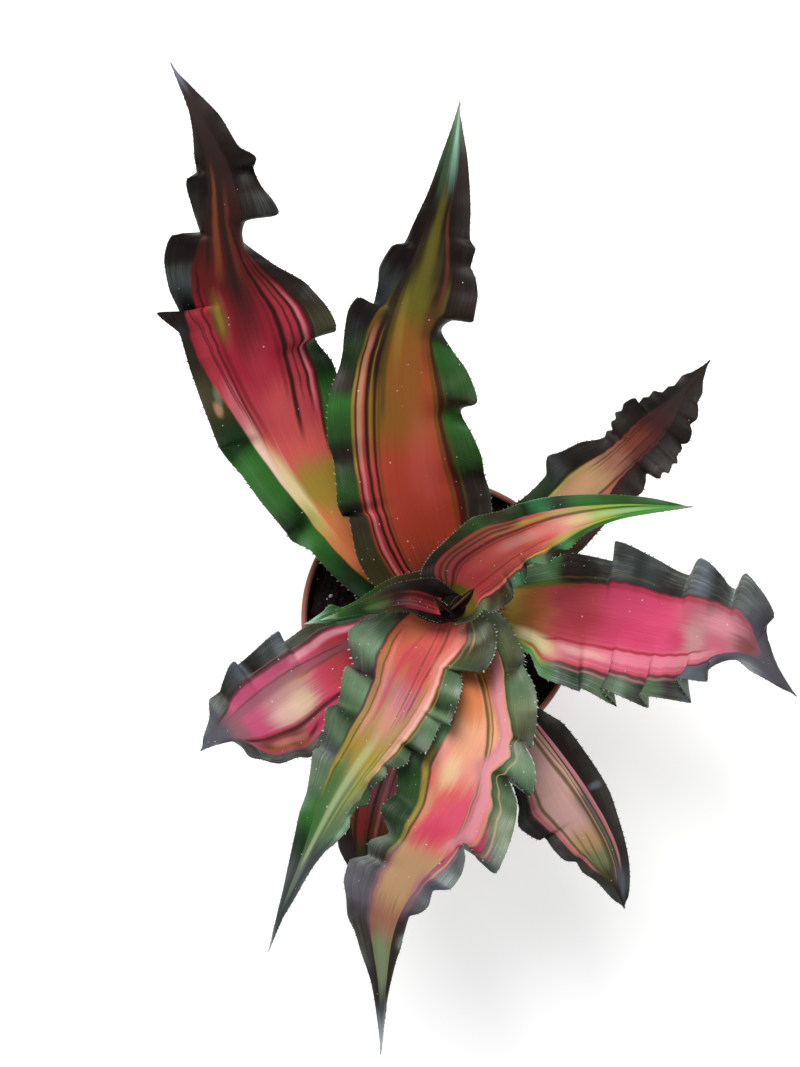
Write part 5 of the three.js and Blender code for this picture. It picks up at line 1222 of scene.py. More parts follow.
@dataclass(frozen=True)
class BladeFinish:
    """Skin of one leaf, its upper face or its underside, with painted light and shade on its margin's
    lobes.
    """

    markings: Markings
    seed: float
    surface: Surface = Surface(roughness=0.42, specular=0.1, bump=0.5)
    border: float = 0.025
    fold_shade: float = 0.75
    centre_grain: float = 0.4
    rim_start: float = 0.45
    rim_silver: float = 0.55
    # Painted sheen: extra scales on the lobes' sides that face the heart.
    crest_silver: float = 1.6
    centre_silver: float = 0.05
    underside_silver: float = 0.9
    specks_lost_at_tip: float = 0.8
    speck_strength: float = 0.8
    speck_height: float = 0.5
    dullness: float = 0.3

    def material(self, name: str, effects: Effects, underside: bool = False) -> bpy.types.Material:
        """Makes the skin's material.

        Args:
            name: the material's name.
            effects: the shared groups.
            underside: makes the paler, scaly lower face.

        Returns:
            The finished material.
        """
        material, s = new_material(name)
        marks = self.markings
        uv = s.add("ShaderNodeUVMap", uv_map="UVMap").outputs[0]
        point = s.add("ShaderNodeTexCoord").outputs["Object"]
        place = effects.blade_place.place(s, {"UV": uv, "Seed": self.seed})
        along, frayed, across, streaks = (place[key] for key in ("Along", "Frayed", "Across", "Streaks"))
        beyond_left = s.less(s.times(across, -1.0), s.levels(along, marks.inner_left))
        beyond_right = s.less(across, s.levels(along, marks.inner_right))
        colour = self._laid(s, effects.cloud, marks.clouds, s.tints(frayed, marks.centre), frayed, across)
        colour = self._laid(s, effects.stripe, marks.along(Line.MIDRIB), colour, along, across)
        in_left = s.rise(beyond_left, -self.border, self.border)
        in_right = s.rise(beyond_right, -self.border, self.border)
        colour = s.blend(in_left, colour, s.tints(along, marks.left))
        colour = s.blend(in_right, colour, s.tints(along, marks.right))
        colour = self._laid(s, effects.stripe, marks.along(LEFT), colour, along, beyond_left)
        colour = self._laid(s, effects.stripe, marks.along(RIGHT), colour, along, beyond_right)
        colour = self._laid(s, effects.cloud, marks.top_clouds, colour, along, across)

        margin = s.math("MAXIMUM", in_left, in_right)
        # Painted shade: on the margin's lobes, the side that turns away from the heart is darkened towards
        # PLEAT_SHADE, standing in for the shade in the folds.
        pleat = s.add("ShaderNodeAttribute", attribute_name=PAINTED_PLEAT_LIGHT).outputs["Fac"]
        fall = s.times(s.math("MAXIMUM", s.times(pleat, -1.0), 0.0), marks.pleat)
        painted_crest_sheen = s.times(s.math("MAXIMUM", pleat, 0.0), s.times(margin, marks.pleat))
        colour = s.blend(fall, colour, s.blend(self.fold_shade, colour, PLEAT_SHADE, "MULTIPLY"))
        depth = s.math("ADD", margin, self.centre_grain)
        grain = effects.grain.place(s, {"Streaks": streaks, "Depth": depth})
        colour = s.blend(1.0, colour, grain["Shade"], "MULTIPLY")
        # Silvery scales over the rims and margins, plus painted sheen: the lobes' sides that face the heart
        # get more pale scale colour as a painted highlight.
        rim = s.rise(s.math("ABSOLUTE", across), self.rim_start, 1.0)
        cover = s.times_plus(rim, self.rim_silver, s.times(painted_crest_sheen, self.crest_silver))
        cover = s.times_plus(cover, margin, self.centre_silver)
        cover = s.times(cover, self.underside_silver if underside else marks.silver)
        scurf = effects.scurf.place(s, {"Streaks": streaks, "Point": point, "Cover": cover})["Share"]
        colour = s.blend(scurf, colour, WHITE_SCALE)
        if underside:
            colour = s.blend(marks.pale_underside, colour, SAGE)
        amount = s.times(s.times_plus(along, -self.specks_lost_at_tip, 1.0), marks.specks)
        specks = effects.specks.place(s, {"Point": point, "Amount": amount})["Mask"]
        colour = s.blend(s.times(specks, self.speck_strength), colour, GRIT)
        rough = s.times_plus(specks, self.dullness, self.surface.roughness)
        rough = s.times_plus(scurf, self.dullness, rough)
        height = s.math("ADD", grain["Height"], s.times(specks, self.speck_height))
        finish_shader(s, self.surface, colour, rough, height)
        return material

    @staticmethod
    def _laid(s: NodeSheet, effect: Effect, marks: Sequence[Mark], colour: Feed, along: Feed,
              across: Feed) -> Feed:
        """Lays marks of one kind on a colour.

        Args:
            s: the material's node sheet.
            effect: the shared group that draws such marks.
            marks: the stripes or clouds, the lowest first.
            colour: the colour below them.
            along: place along the blade.
            across: place across it, or distance from the line that the stripes follow.

        Returns:
            The colour with the marks on it.
        """
        for mark in marks:
            feeds = {"Below": colour, "Along": along, "Across": across, **mark.feeds()}
            colour = effect.place(s, feeds)["Color"]
        return colour


@dataclass(frozen=True)
class PlainFinish:
    """Finish of a mottled surface with one main colour, such as plastic, bark or grit."""

    main: Tint
    other: Tint
    patch_scale: float
    surface: Surface
    bump_scale: float = 900.0
    specks: float = 0.0
    speck_cells: float = 320.0
    unevenness: float = 0.16

    def material(self, name: str, effects: Effects) -> bpy.types.Material:
        """Makes the finish's material.

        Args:
            name: the material's name.
            effects: the shared groups.

        Returns:
            The finished material.
        """
        material, s = new_material(name)
        point = s.add("ShaderNodeTexCoord").outputs["Object"]
        patches = s.rise(s.noise(point, self.patch_scale, detail=4.0, rough=0.6), start=0.35, end=0.68)
        colour = s.blend(patches, self.main, self.other)
        relief = s.noise(point, self.bump_scale, detail=3.0, rough=0.6)
        if self.specks > 0:
            feeds = {"Point": point, "Amount": self.specks, "Cells": self.speck_cells}
            colour = s.blend(effects.specks.place(s, feeds)["Mask"], colour, GRIT)
        uneven = s.less(relief, 0.5)
        rough = s.times_plus(uneven, self.unevenness, self.surface.roughness, clamp=True)
        finish_shader(s, self.surface, colour, rough, relief)
        return material


def deselect_all() -> None:
    """Leaves edit mode and deselects every object."""
    if bpy.context.object and bpy.context.object.mode == "EDIT":
        bpy.ops.object.mode_set(mode="OBJECT")
    bpy.ops.object.select_all(action="DESELECT")


def pick(piece: Piece) -> None:
    """Makes a piece the only selected and the active object.

    Args:
        piece: the object.
    """
    deselect_all()
    piece.select_set(True)
    bpy.context.view_layer.objects.active = piece


def apply_modifier(piece: Piece, kind: str, **settings: object) -> None:
    """Adds a modifier to a piece and applies it.

    Args:
        piece: the object.
        kind: the modifier's type.
        **settings: the modifier's properties.
    """
    pick(piece)
    modifier = piece.modifiers.new(kind.lower(), kind)
    for key, value in settings.items():
        setattr(modifier, key, value)
    bpy.ops.object.modifier_apply(modifier=modifier.name)


def smooth_shading(piece: Piece, degrees: float) -> None:
    """Shades a piece smooth except at edges sharper than an angle in degrees."""
    pick(piece)
    bpy.ops.object.shade_smooth_by_angle(angle=math.radians(degrees))


def points_of(piece: Piece) -> np.ndarray:
    """Points of a piece's mesh.

    Args:
        piece: the object.

    Returns:
        The points, one row each.
    """
    flat = np.empty(len(piece.data.vertices) * 3)
    piece.data.vertices.foreach_get("co", flat)
    return flat.reshape(-1, 3)


def set_points(piece: Piece, points: np.ndarray) -> None:
    """Moves the points of a piece's mesh to new places, one row each."""
    piece.data.vertices.foreach_set("co", points.astype(np.float32).ravel())
    piece.data.update()


def turned(name: str, profile: Sequence[tuple[float, float]], sides: int,
           centre: tuple[float, float] = (0.0, 0.0), insets: int = 0, inset: float = 0.0) -> Piece:
    """Closed round piece: a filled circle drawn out through its profile, one extrusion for each ring.

    Args:
        name: the new object's name.
        profile: radius and height of each ring, in order.
        sides: how many sides the circle has.
        centre: the upright axis, as x and y.
        insets: how many rings divide the last face.
        inset: width of each of those rings.

    Returns:
        The new object.
    """
    x, y = centre
    deselect_all()
    bpy.ops.mesh.primitive_circle_add(
        vertices=sides, radius=profile[0][0], fill_type="NGON", location=(x, y, profile[0][1])
    )
    piece = bpy.context.object
    piece.name = piece.data.name = name
    bpy.ops.object.transform_apply(location=True)
    bpy.ops.object.mode_set(mode="EDIT")
    bpy.ops.mesh.select_all(action="SELECT")
    for (r0, z0), (r1, z1) in zip(profile, profile[1:]):
        bpy.ops.mesh.extrude_region_move(TRANSFORM_OT_translate={"value": (0, 0, z1 - z0)})
        bpy.ops.transform.resize(value=(r1 / r0, r1 / r0, 1), center_override=(x, y, z1))
    for _ in range(insets):
        bpy.ops.mesh.inset(thickness=inset)
    bpy.ops.mesh.select_all(action="SELECT")
    bpy.ops.mesh.normals_make_consistent(inside=False)
    bpy.ops.object.mode_set(mode="OBJECT")
    return piece


def scatter(name: str, template: Piece, places: Iterable[Matrix]) -> Piece:
    """One mesh that repeats a template at many places.

    Args:
        name: the new object's name.
        template: the piece to repeat, which is removed.
        places: where each copy goes.

    Returns:
        The new object.
    """
    base = points_of(template)
    faces = [tuple(face.vertices) for face in template.data.polygons]
    vertices: list[np.ndarray] = []
    polygons: list[tuple[int, ...]] = []
    for count, place in enumerate(places):
        frame = np.array(place)
        vertices.append(base @ frame[:3, :3].T + frame[:3, 3])
        polygons.extend(tuple(v + count * len(base) for v in face) for face in faces)
    mesh = bpy.data.meshes.new(name)
    mesh.from_pydata(np.vstack(vertices).tolist(), [], polygons)
    piece = bpy.data.objects.new(name, mesh)
    bpy.context.collection.objects.link(piece)
    bpy.data.objects.remove(template)
    return piece


def fit_to_frame(piece: Piece, slot: str, *nodes: str) -> None:
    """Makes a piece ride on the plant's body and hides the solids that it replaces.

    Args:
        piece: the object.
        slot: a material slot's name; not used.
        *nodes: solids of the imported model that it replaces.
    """
    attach(piece, BODY)
    if nodes:
        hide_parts(*nodes)
    faces = sum(len(face.vertices) - 2 for face in piece.data.polygons)
    LOG.info("%s: %d triangles", piece.name, faces)


def ease(x: np.ndarray) -> np.ndarray:
    """Smooth step from 0 to 1 for values between 0 and 1."""
    x = np.clip(x, 0.0, 1.0)
    return x * x * (3 - 2 * x)


def follow(knots: np.ndarray, column: int, t: np.ndarray) -> np.ndarray:
    """Values of one column of a knot list, on a curve that never swings past its knots.

    Args:
        knots: the list, whose first column rises.
        column: which column is followed.
        t: where it is read.

    Returns:
        The values.
    """
    x, y = knots[:, 0], knots[:, column]
    h = np.diff(x)
    slope = np.diff(y) / h
    tangent = np.zeros(len(x))
    tangent[0], tangent[-1] = slope[0], slope[-1]
    before, after = slope[:-1], slope[1:]
    same = before * after > 0
    tangent[1:-1][same] = 2 * before[same] * after[same] / (before[same] + after[same])
    t = np.clip(t, x[0], x[-1])
    i = np.clip(np.searchsorted(x, t, side="right") - 1, 0, len(x) - 2)
    u = (t - x[i]) / h[i]
    uu, uuu = u * u, u * u * u
    return ((2 * uuu - 3 * uu + 1) * y[i] + (uuu - 2 * uu + u) * h[i] * tangent[i]
            + (3 * uu - 2 * uuu) * y[i + 1] + (uuu - uu) * h[i] * tangent[i + 1])


def unit(rows: np.ndarray) -> np.ndarray:
    """Rows scaled to a length of 1."""
    return rows / np.maximum(np.linalg.norm(rows, axis=1), 1e-9)[:, None]


def square_to(rows: np.ndarray, axes: np.ndarray) -> np.ndarray:
    """Rows less their parts along unit axes, one axis for each row."""
    return rows - axes * (rows * axes).sum(1)[:, None]


def reach_of(points: np.ndarray) -> np.ndarray:
    """Level distance of points from the stem's axis, in millimetres."""
    return np.hypot(*(points[:, :2] - STEM_PLACE).T)


@dataclass
class BladeForm:
    """Middle surface of one leaf in millimetres, by the same rule as the solid that it replaces."""

    plan: LeafPlan
    tooth: float = 0.8
    ruffle_power: float = 2.6
    fan_inner: float = 10.0
    fan_outer: float = 42.0
    cone_inner: float = 30.0
    cone_outer: float = 60.0
    channel: float = 0.12
    averaging: float = 0.07
    tip_taper: float = 0.035
    direction_span: float = 1e-3
    climb_span: float = 0.01
    least_climb: float = -0.3
    most_climb: float = 1.2
    pleat_samples: int = 400
    pleat_window: int = 13
    pleat_slope: float = 0.12
    pleat_width: float = 2.5
    pleat_from: float = 0.25
    pleat_span: float = 0.6
    pleat_power: float = 1.3

    def midrib(self, t: np.ndarray) -> np.ndarray:
        """Points of the middle line.

        Args:
            t: places from 0 at the base to 1 at the tip.

        Returns:
            One point a row, in millimetres.
        """
        knots = np.array(self.plan.midrib, float)
        last = len(knots) - 1
        x = np.clip(t, 0.0, 1.0) * last
        i = np.minimum(x.astype(int), last - 1)
        u = (x - i)[:, None]
        padded = np.vstack([2 * knots[0] - knots[1], knots, 2 * knots[-1] - knots[-2]])
        a, b, c, d = padded[i], padded[i + 1], padded[i + 2], padded[i + 3]
        square = 2 * a - 5 * b + 4 * c - d
        cube = 3 * b - a - 3 * c + d
        return 0.5 * (2 * b + (c - a) * u + square * u**2 + cube * u**3)

    def direction(self, t: np.ndarray) -> np.ndarray:
        """Direction of the middle line at places along it, towards the tip."""
        return unit(self.midrib(t + self.direction_span) - self.midrib(t - self.direction_span))

    def margin(self, side: int) -> np.ndarray:
        """Knots of the left margin, -1, or the right one, 1, with the tip added."""
        knots = self.plan.right if side > 0 else self.plan.left
        return np.array([(*knot, 0, 0)[:4] for knot in (*knots, (1, CLOSING_HALF_WIDTH))], float)

    def smooth_width(self, knots: np.ndarray, t: np.ndarray, spread: Sequence[float]) -> np.ndarray:
        """Half-width without its lobes: the mean of places spread round t, in averaging lengths."""
        return np.mean([follow(knots, 1, np.clip(t + k * self.averaging, 0, 1)) for k in spread], axis=0)

    def surface(self, t: np.ndarray, across: np.ndarray) -> np.ndarray:
        """Points of the blade's middle surface.

        Args:
            t: places along the blade.
            across: places across it, from -1 at the left margin to 1 at the right one.

        Returns:
            A grid of points in millimetres, rows along and columns across.
        """
        line, tangent = self.midrib(t), self.direction(t)
        heading = unit(tangent * [1, 1, 0])
        sideways = np.stack([heading[:, 1], -heading[:, 0], np.zeros(len(t))], 1)
        normal = unit(np.cross(sideways, tangent))
        reach = reach_of(line)
        ahead, behind = self.midrib(t + self.climb_span), self.midrib(t - self.climb_span)
        run = reach_of(ahead) - reach_of(behind)
        run = np.where(np.abs(run) > 1e-6, run, 1e6)
        climb = np.clip((ahead[:, 2] - behind[:, 2]) / run, self.least_climb, self.most_climb)
        fan = 1 - ease((reach - self.fan_inner) / (self.fan_outer - self.fan_inner))
        cone = 1 - ease((reach - self.cone_inner) / (self.cone_outer - self.cone_inner))
        taper = np.sqrt(np.clip((1 - t) / self.tip_taper, 0.0, 1.0))
        grid = np.zeros((len(t), len(across), 3))
        for column, place in enumerate(across):
            side, v = (1, place) if place > 0 else (-1, -place)
            knots = self.margin(side)
            width = self.smooth_width(knots, t, (-1, -0.5, 0, 0.5, 1))
            edge = np.maximum(follow(knots, 1, t) - self.tooth / 2, CLOSING_HALF_WIDTH)
            ruffle = v**self.ruffle_power
            y = (width * v + (edge - width) * ruffle) * taper
            turn = y / np.maximum(reach, 1.0)
            p = line + heading * (fan * reach * (np.cos(turn) - 1))[:, None]
            p = p + sideways * (side * (fan * reach * np.sin(turn) + (1 - fan) * y))[:, None]
            p = p + normal * (follow(knots, 2, t) * ruffle)[:, None]
            p = p + tangent * (follow(knots, 3, t) * ruffle)[:, None]
            drift = reach_of(p) - reach
            p[:, 2] += climb * drift * cone + self.channel * (1 - fan) * y * y / np.maximum(width, 1.0)
            grid[:, column] = p
        return grid

    def pleat(self, t: np.ndarray, across: np.ndarray) -> np.ndarray:
        """How the margin's lobes turn, as painted light: 1 on the side that faces the heart, painted lit,
        -1 on the other, painted in shade.

        Args:
            t: places along the blade.
            across: places across it.

        Returns:
            A grid of values, rows along and columns across.
        """
        grid = np.zeros((len(t), len(across)))
        fine = np.linspace(0, 1, self.pleat_samples)
        window = np.hanning(self.pleat_window)
        window /= window.sum()
        for column, place in enumerate(across):
            knots = self.margin(1 if place > 0 else -1)
            edge = follow(knots, 1, fine)
            wide = self.smooth_width(knots, fine, (-1, 0, 1))
            lobe = (edge - wide) / np.maximum(wide, 2.0)
            slope = np.gradient(lobe, fine) * self.pleat_slope + lobe * self.pleat_width
            value = np.tanh(np.convolve(np.pad(slope, self.pleat_window // 2, "edge"), window, "valid"))
            share = np.clip((abs(place) - self.pleat_from) / self.pleat_span, 0, 1)
            grid[:, column] = np.interp(t, fine, value) * share**self.pleat_power
        return grid


@dataclass
class Leaf:
    """One leaf: its blade, with an upper skin, an underside and a row of spines on each margin.

    first_spine is in millimetres along the margin. tip_share, spines_from and spines_to are shares of the
    blade's length. The spreads are the least and greatest factors of the spines' random gaps and sizes.
    """

    plan: LeafPlan
    seed: int
    rows: int = 230
    columns: int = 36
    thickness: float = 1.0 * MM
    thin_share: float = 0.5
    thin_power: float = 1.5
    tip_share: float = 0.1
    tip_thickness: float = 0.35
    thickness_steps: int = 20
    slot: str = ""
    first_spine: float = 0.6
    spines_from: float = 0.05
    spines_to: float = 0.965
    margin_samples: int = 700
    gap_spread: tuple[float, float] = (0.6, 1.4)
    size_spread: tuple[float, float] = (0.7, 1.15)
    spine_sunk: float = 0.12 * MM

    def build(self, effects: Effects) -> None:
        """Makes the whole leaf and fits it to the frame.

        Args:
            effects: the shared shader groups.
        """
        form = BladeForm(self.plan)
        blade = self._blade(form)
        spines = self._spines(form)
        finish = BladeFinish(self.plan.markings, float(self.seed))
        name = self.plan.name
        blade.data.materials.append(finish.material(f"{name} upper skin", effects))
        blade.data.materials.append(finish.material(f"{name} underside", effects, underside=True))
        apply_modifier(
            blade, "SOLIDIFY", thickness=self.thickness, offset=0.0, material_offset=1,
            material_offset_rim=0, vertex_group="stoutness", thickness_vertex_group=0.0,
        )
        spine_surface = Surface(roughness=0.5, bump=0.1)
        spine_skin = PlainFinish(self.plan.markings.spine, SAGE, patch_scale=500.0, surface=spine_surface)
        spines.data.materials.append(spine_skin.material(f"{name} spines", effects))
        smooth_shading(blade, degrees=60.0)
        pick(blade)
        spines.select_set(True)
        bpy.ops.object.join()
        fit_to_frame(blade, self.slot or name, name)

    def _blade(self, form: BladeForm) -> Piece:
        """The middle surface as a mesh, with a vertex group that thins it towards its margins.

        Args:
            form: the leaf's form.

        Returns:
            The open blade.
        """
        deselect_all()
        bpy.ops.mesh.primitive_grid_add(x_subdivisions=self.columns, y_subdivisions=self.rows, size=1.0)
        blade = bpy.context.object
        blade.name = blade.data.name = f"{self.plan.name}_blade"
        flat = points_of(blade)
        places = np.round(flat[:, :2] + 0.5, 6)
        along, row = np.unique(places[:, 1], return_inverse=True)
        across, column = np.unique(places[:, 0], return_inverse=True)
        grid = form.surface(along, across * 2 - 1)
        set_points(blade, grid[row, column] * MM)
        # This value drives the painted light and shade of the margin's lobes on the skin.
        pleat = blade.data.attributes.new(PAINTED_PLEAT_LIGHT, "FLOAT", "POINT")
        pleat.data.foreach_set("value", form.pleat(along, across * 2 - 1)[row, column].astype(np.float32))
        group = blade.vertex_groups.new(name="stoutness")
        out = np.abs(places[:, 0] * 2 - 1)
        tip = np.clip((1 - places[:, 1]) / self.tip_share, self.tip_thickness, 1.0)
        stout = (1 - (1 - self.thin_share) * out**self.thin_power) * tip
        steps = np.round(stout * self.thickness_steps).astype(int)
        for step in range(1, self.thickness_steps + 1):
            members = np.nonzero(steps == step)[0]
            if len(members):
                group.add(members.tolist(), step / self.thickness_steps, "REPLACE")
        return blade

    def _spines(self, form: BladeForm) -> Piece:
        """Hooked spines along both margins.

        Args:
            form: the leaf's form.

        Returns:
            All the spines as one mesh.
        """
        rng = random.Random(self.seed)
        t = np.linspace(self.spines_from, self.spines_to, self.margin_samples)
        places: list[Matrix] = []
        for side in (-1, 1):
            strip = form.surface(t, side * np.array([0.94, 1.0])) * MM
            edge = strip[:, 1]
            outward = edge - strip[:, 0]
            forward = np.gradient(edge, axis=0)
            length = np.concatenate([[0], np.cumsum(np.linalg.norm(np.diff(edge, axis=0), axis=1))]) / MM
            at = self.first_spine
            while at < length[-1]:
                i = int(np.searchsorted(length, at))
                places.append(self._spine_place(t[i], edge[i], outward[i], forward[i], rng))
                at += self.plan.markings.spine_gap * rng.uniform(*self.gap_spread)
        return scatter(f"{self.plan.name}_spines", self._spine(), places)

    def _spine(self) -> Piece:
        """One spine along +Z, with its point leaning towards +Y.

        Returns:
            The spine, with its root at the origin.
        """
        length = self.plan.markings.spine_length * MM
        root, point, lean = 0.42 * length, 0.06 * length, 0.6 * length
        deselect_all()
        bpy.ops.mesh.primitive_cone_add(
            vertices=4, radius1=root, radius2=point, depth=length, location=(0, 0, length / 2)
        )
        spine = bpy.context.object
        bpy.ops.object.transform_apply(location=True)
        bpy.ops.object.mode_set(mode="EDIT")
        bpy.ops.mesh.select_all(action="DESELECT")
        bpy.ops.object.mode_set(mode="OBJECT")
        for vertex in spine.data.vertices:
            vertex.select = vertex.co.z > length / 2
        bpy.ops.object.mode_set(mode="EDIT")
        bpy.ops.transform.translate(value=(0, lean, 0))
        bpy.ops.object.mode_set(mode="OBJECT")
        return spine

    def _spine_place(self, t: float, foot: np.ndarray, outward: np.ndarray, forward: np.ndarray,
                     rng: random.Random) -> Matrix:
        """Where one spine stands and how large it is.

        Args:
            t: place along the blade.
            foot: the margin's point.
            outward: direction away from the blade.
            forward: direction along the margin.
            rng: the leaf's own random numbers.

        Returns:
            The spine's matrix.
        """
        up = Vector(outward).normalized()
        ahead = Vector(forward)
        ahead = (ahead - up * ahead.dot(up)).normalized()
        flat = ahead.cross(up).normalized()
        size = rng.uniform(*self.size_spread) * (1.05 - 0.6 * t)
        thick, broad = 0.6, 1.3
        turn = Matrix((flat * thick * size, ahead * broad * size, up * size)).transposed().to_4x4()
        return Matrix.Translation(Vector(foot) - up * self.spine_sunk) @ turn


@dataclass
class Bud(Leaf):
    """One of the youngest leaves: a slim blade folded to a deep channel round its own midrib."""

    rows: int = 60
    columns: int = 16
    slot: str = "bud_skin"
    fold: float = 1.25
    narrowing: float = 0.6
    opens_towards: tuple[float, float, float] = (0.0, -1.0, 0.25)

    def _blade(self, form: BladeForm) -> Piece:
        """The blade's surface, its halves bent up round the midrib.

        Args:
            form: the bud's form.

        Returns:
            The open blade.
        """
        blade = super()._blade(form)
        flat = points_of(blade)
        uv = np.empty(len(blade.data.loops) * 2)
        blade.data.uv_layers[0].data.foreach_get("uv", uv)
        corner = np.empty(len(blade.data.loops), int)
        blade.data.loops.foreach_get("vertex_index", corner)
        place = np.zeros((len(flat), 2))
        place[corner] = uv.reshape(-1, 2)
        line, tangent = form.midrib(place[:, 1]) * MM, form.direction(place[:, 1])
        side = flat - line
        out = np.linalg.norm(side, axis=1)
        inward = unit(np.cross(np.cross(tangent, self.opens_towards), tangent))
        across = unit(square_to(square_to(unit(side), tangent), inward))
        angle = self.fold * np.abs(place[:, 0] * 2 - 1)
        rolled = line + across * (out * np.cos(angle * self.narrowing))[:, None]
        set_points(blade, rolled + inward * (out * np.sin(angle))[:, None])
        return blade


@dataclass
class Pot:
    """Thin-walled nursery pot: tapered body, lip at the rim, raised groove with holes in its foot."""

    rim_radius: float = 45 * MM
    height: float = 80 * MM
    foot_radius: float = 31 * MM
    wall: float = 0.8 * MM
    lip: float = 1.0 * MM
    rim_depth: float = 7 * MM
    recess: float = 1.6 * MM
    holes: int = 6
    hole_radius: float = 3.2 * MM
    hole_ring: float = 19.5 * MM
    groove: tuple[float, ...] = (12 * MM, 13.5 * MM, 25.5 * MM, 27 * MM)
    rounding: float = 0.25 * MM
    sharp_edge: float = 32.0
    stain_foot: float = 5 * MM
    clean_rim: float = 1.4 * MM
    sides: int = 144

    def build(self, effects: Effects) -> None:
        """Makes the pot and fits it to the frame.

        Args:
            effects: the shared shader groups.
        """
        pot = turned("pot_shell", self._profile(), self.sides)
        self._drill(pot)
        apply_modifier(
            pot, "BEVEL", width=self.rounding, segments=2, limit_method="ANGLE",
            angle_limit=math.radians(self.sharp_edge),
        )
        smooth_shading(pot, self.sharp_edge)
        finish = PlainFinish(
            TERRACOTTA, TERRACOTTA_DARK, patch_scale=60.0, bump_scale=1400.0, specks=0.3,
            surface=Surface(roughness=0.5, specular=0.4, bump=0.16, bump_depth=0.0003),
        )
        darker_inside = PlainFinish(
            PEAT, TERRACOTTA_DARKEST, patch_scale=90.0, bump_scale=700.0,
            surface=Surface(roughness=0.8, specular=0.1, bump=0.4),
        )
        pot.data.materials.append(finish.material("terracotta plastic", effects))
        pot.data.materials.append(darker_inside.material("darker inside", effects))
        # The inner wall is darker, except near the foot and just below the rim.
        for face in pot.data.polygons:
            inside = face.normal.x * face.center.x + face.normal.y * face.center.y < 0
            low = self.stain_foot < face.center.z < self.height - self.clean_rim
            face.material_index = int(inside and low)
        fit_to_frame(pot, "pot_plastic", "pot")

    def _profile(self) -> list[tuple[float, float]]:
        """The pot's section, from the foot outside, over the rim, to the floor inside.

        Returns:
            Radius and height of each ring.
        """
        shoulder = self.height - self.rim_depth
        top = self.rim_radius - self.lip
        return [
            (self.groove[0], 0.0), (self.groove[1], self.recess),
            (self.groove[2], self.recess), (self.groove[3], 0.0),
            (self.foot_radius - 1 * MM, 0.0), (self.foot_radius, 1 * MM),
            (top - 0.6 * MM, shoulder - 1 * MM),
            (self.rim_radius - 0.5 * MM, shoulder), (self.rim_radius, self.height - 0.7 * MM),
            (self.rim_radius - 0.5 * MM, self.height), (top - self.wall + 0.6 * MM, self.height),
            (top - self.wall, self.height - 0.8 * MM), (top - self.wall - 0.4 * MM, shoulder - 1.5 * MM),
            (self.foot_radius - self.wall, self.recess + self.wall),
        ]

    def _drill(self, pot: Piece) -> None:
        """Cuts the drain holes.

        Args:
            pot: the pot's shell.
        """
        for k in range(self.holes):
            angle = 2 * math.pi * k / self.holes
            deselect_all()
            bpy.ops.mesh.primitive_cylinder_add(
                vertices=32, radius=self.hole_radius, depth=12 * MM,
                location=(self.hole_ring * math.cos(angle), self.hole_ring * math.sin(angle), 0),
            )
            drill = bpy.context.object
            apply_modifier(pot, "BOOLEAN", object=drill, operation="DIFFERENCE", solver="EXACT")
            bpy.data.objects.remove(drill)


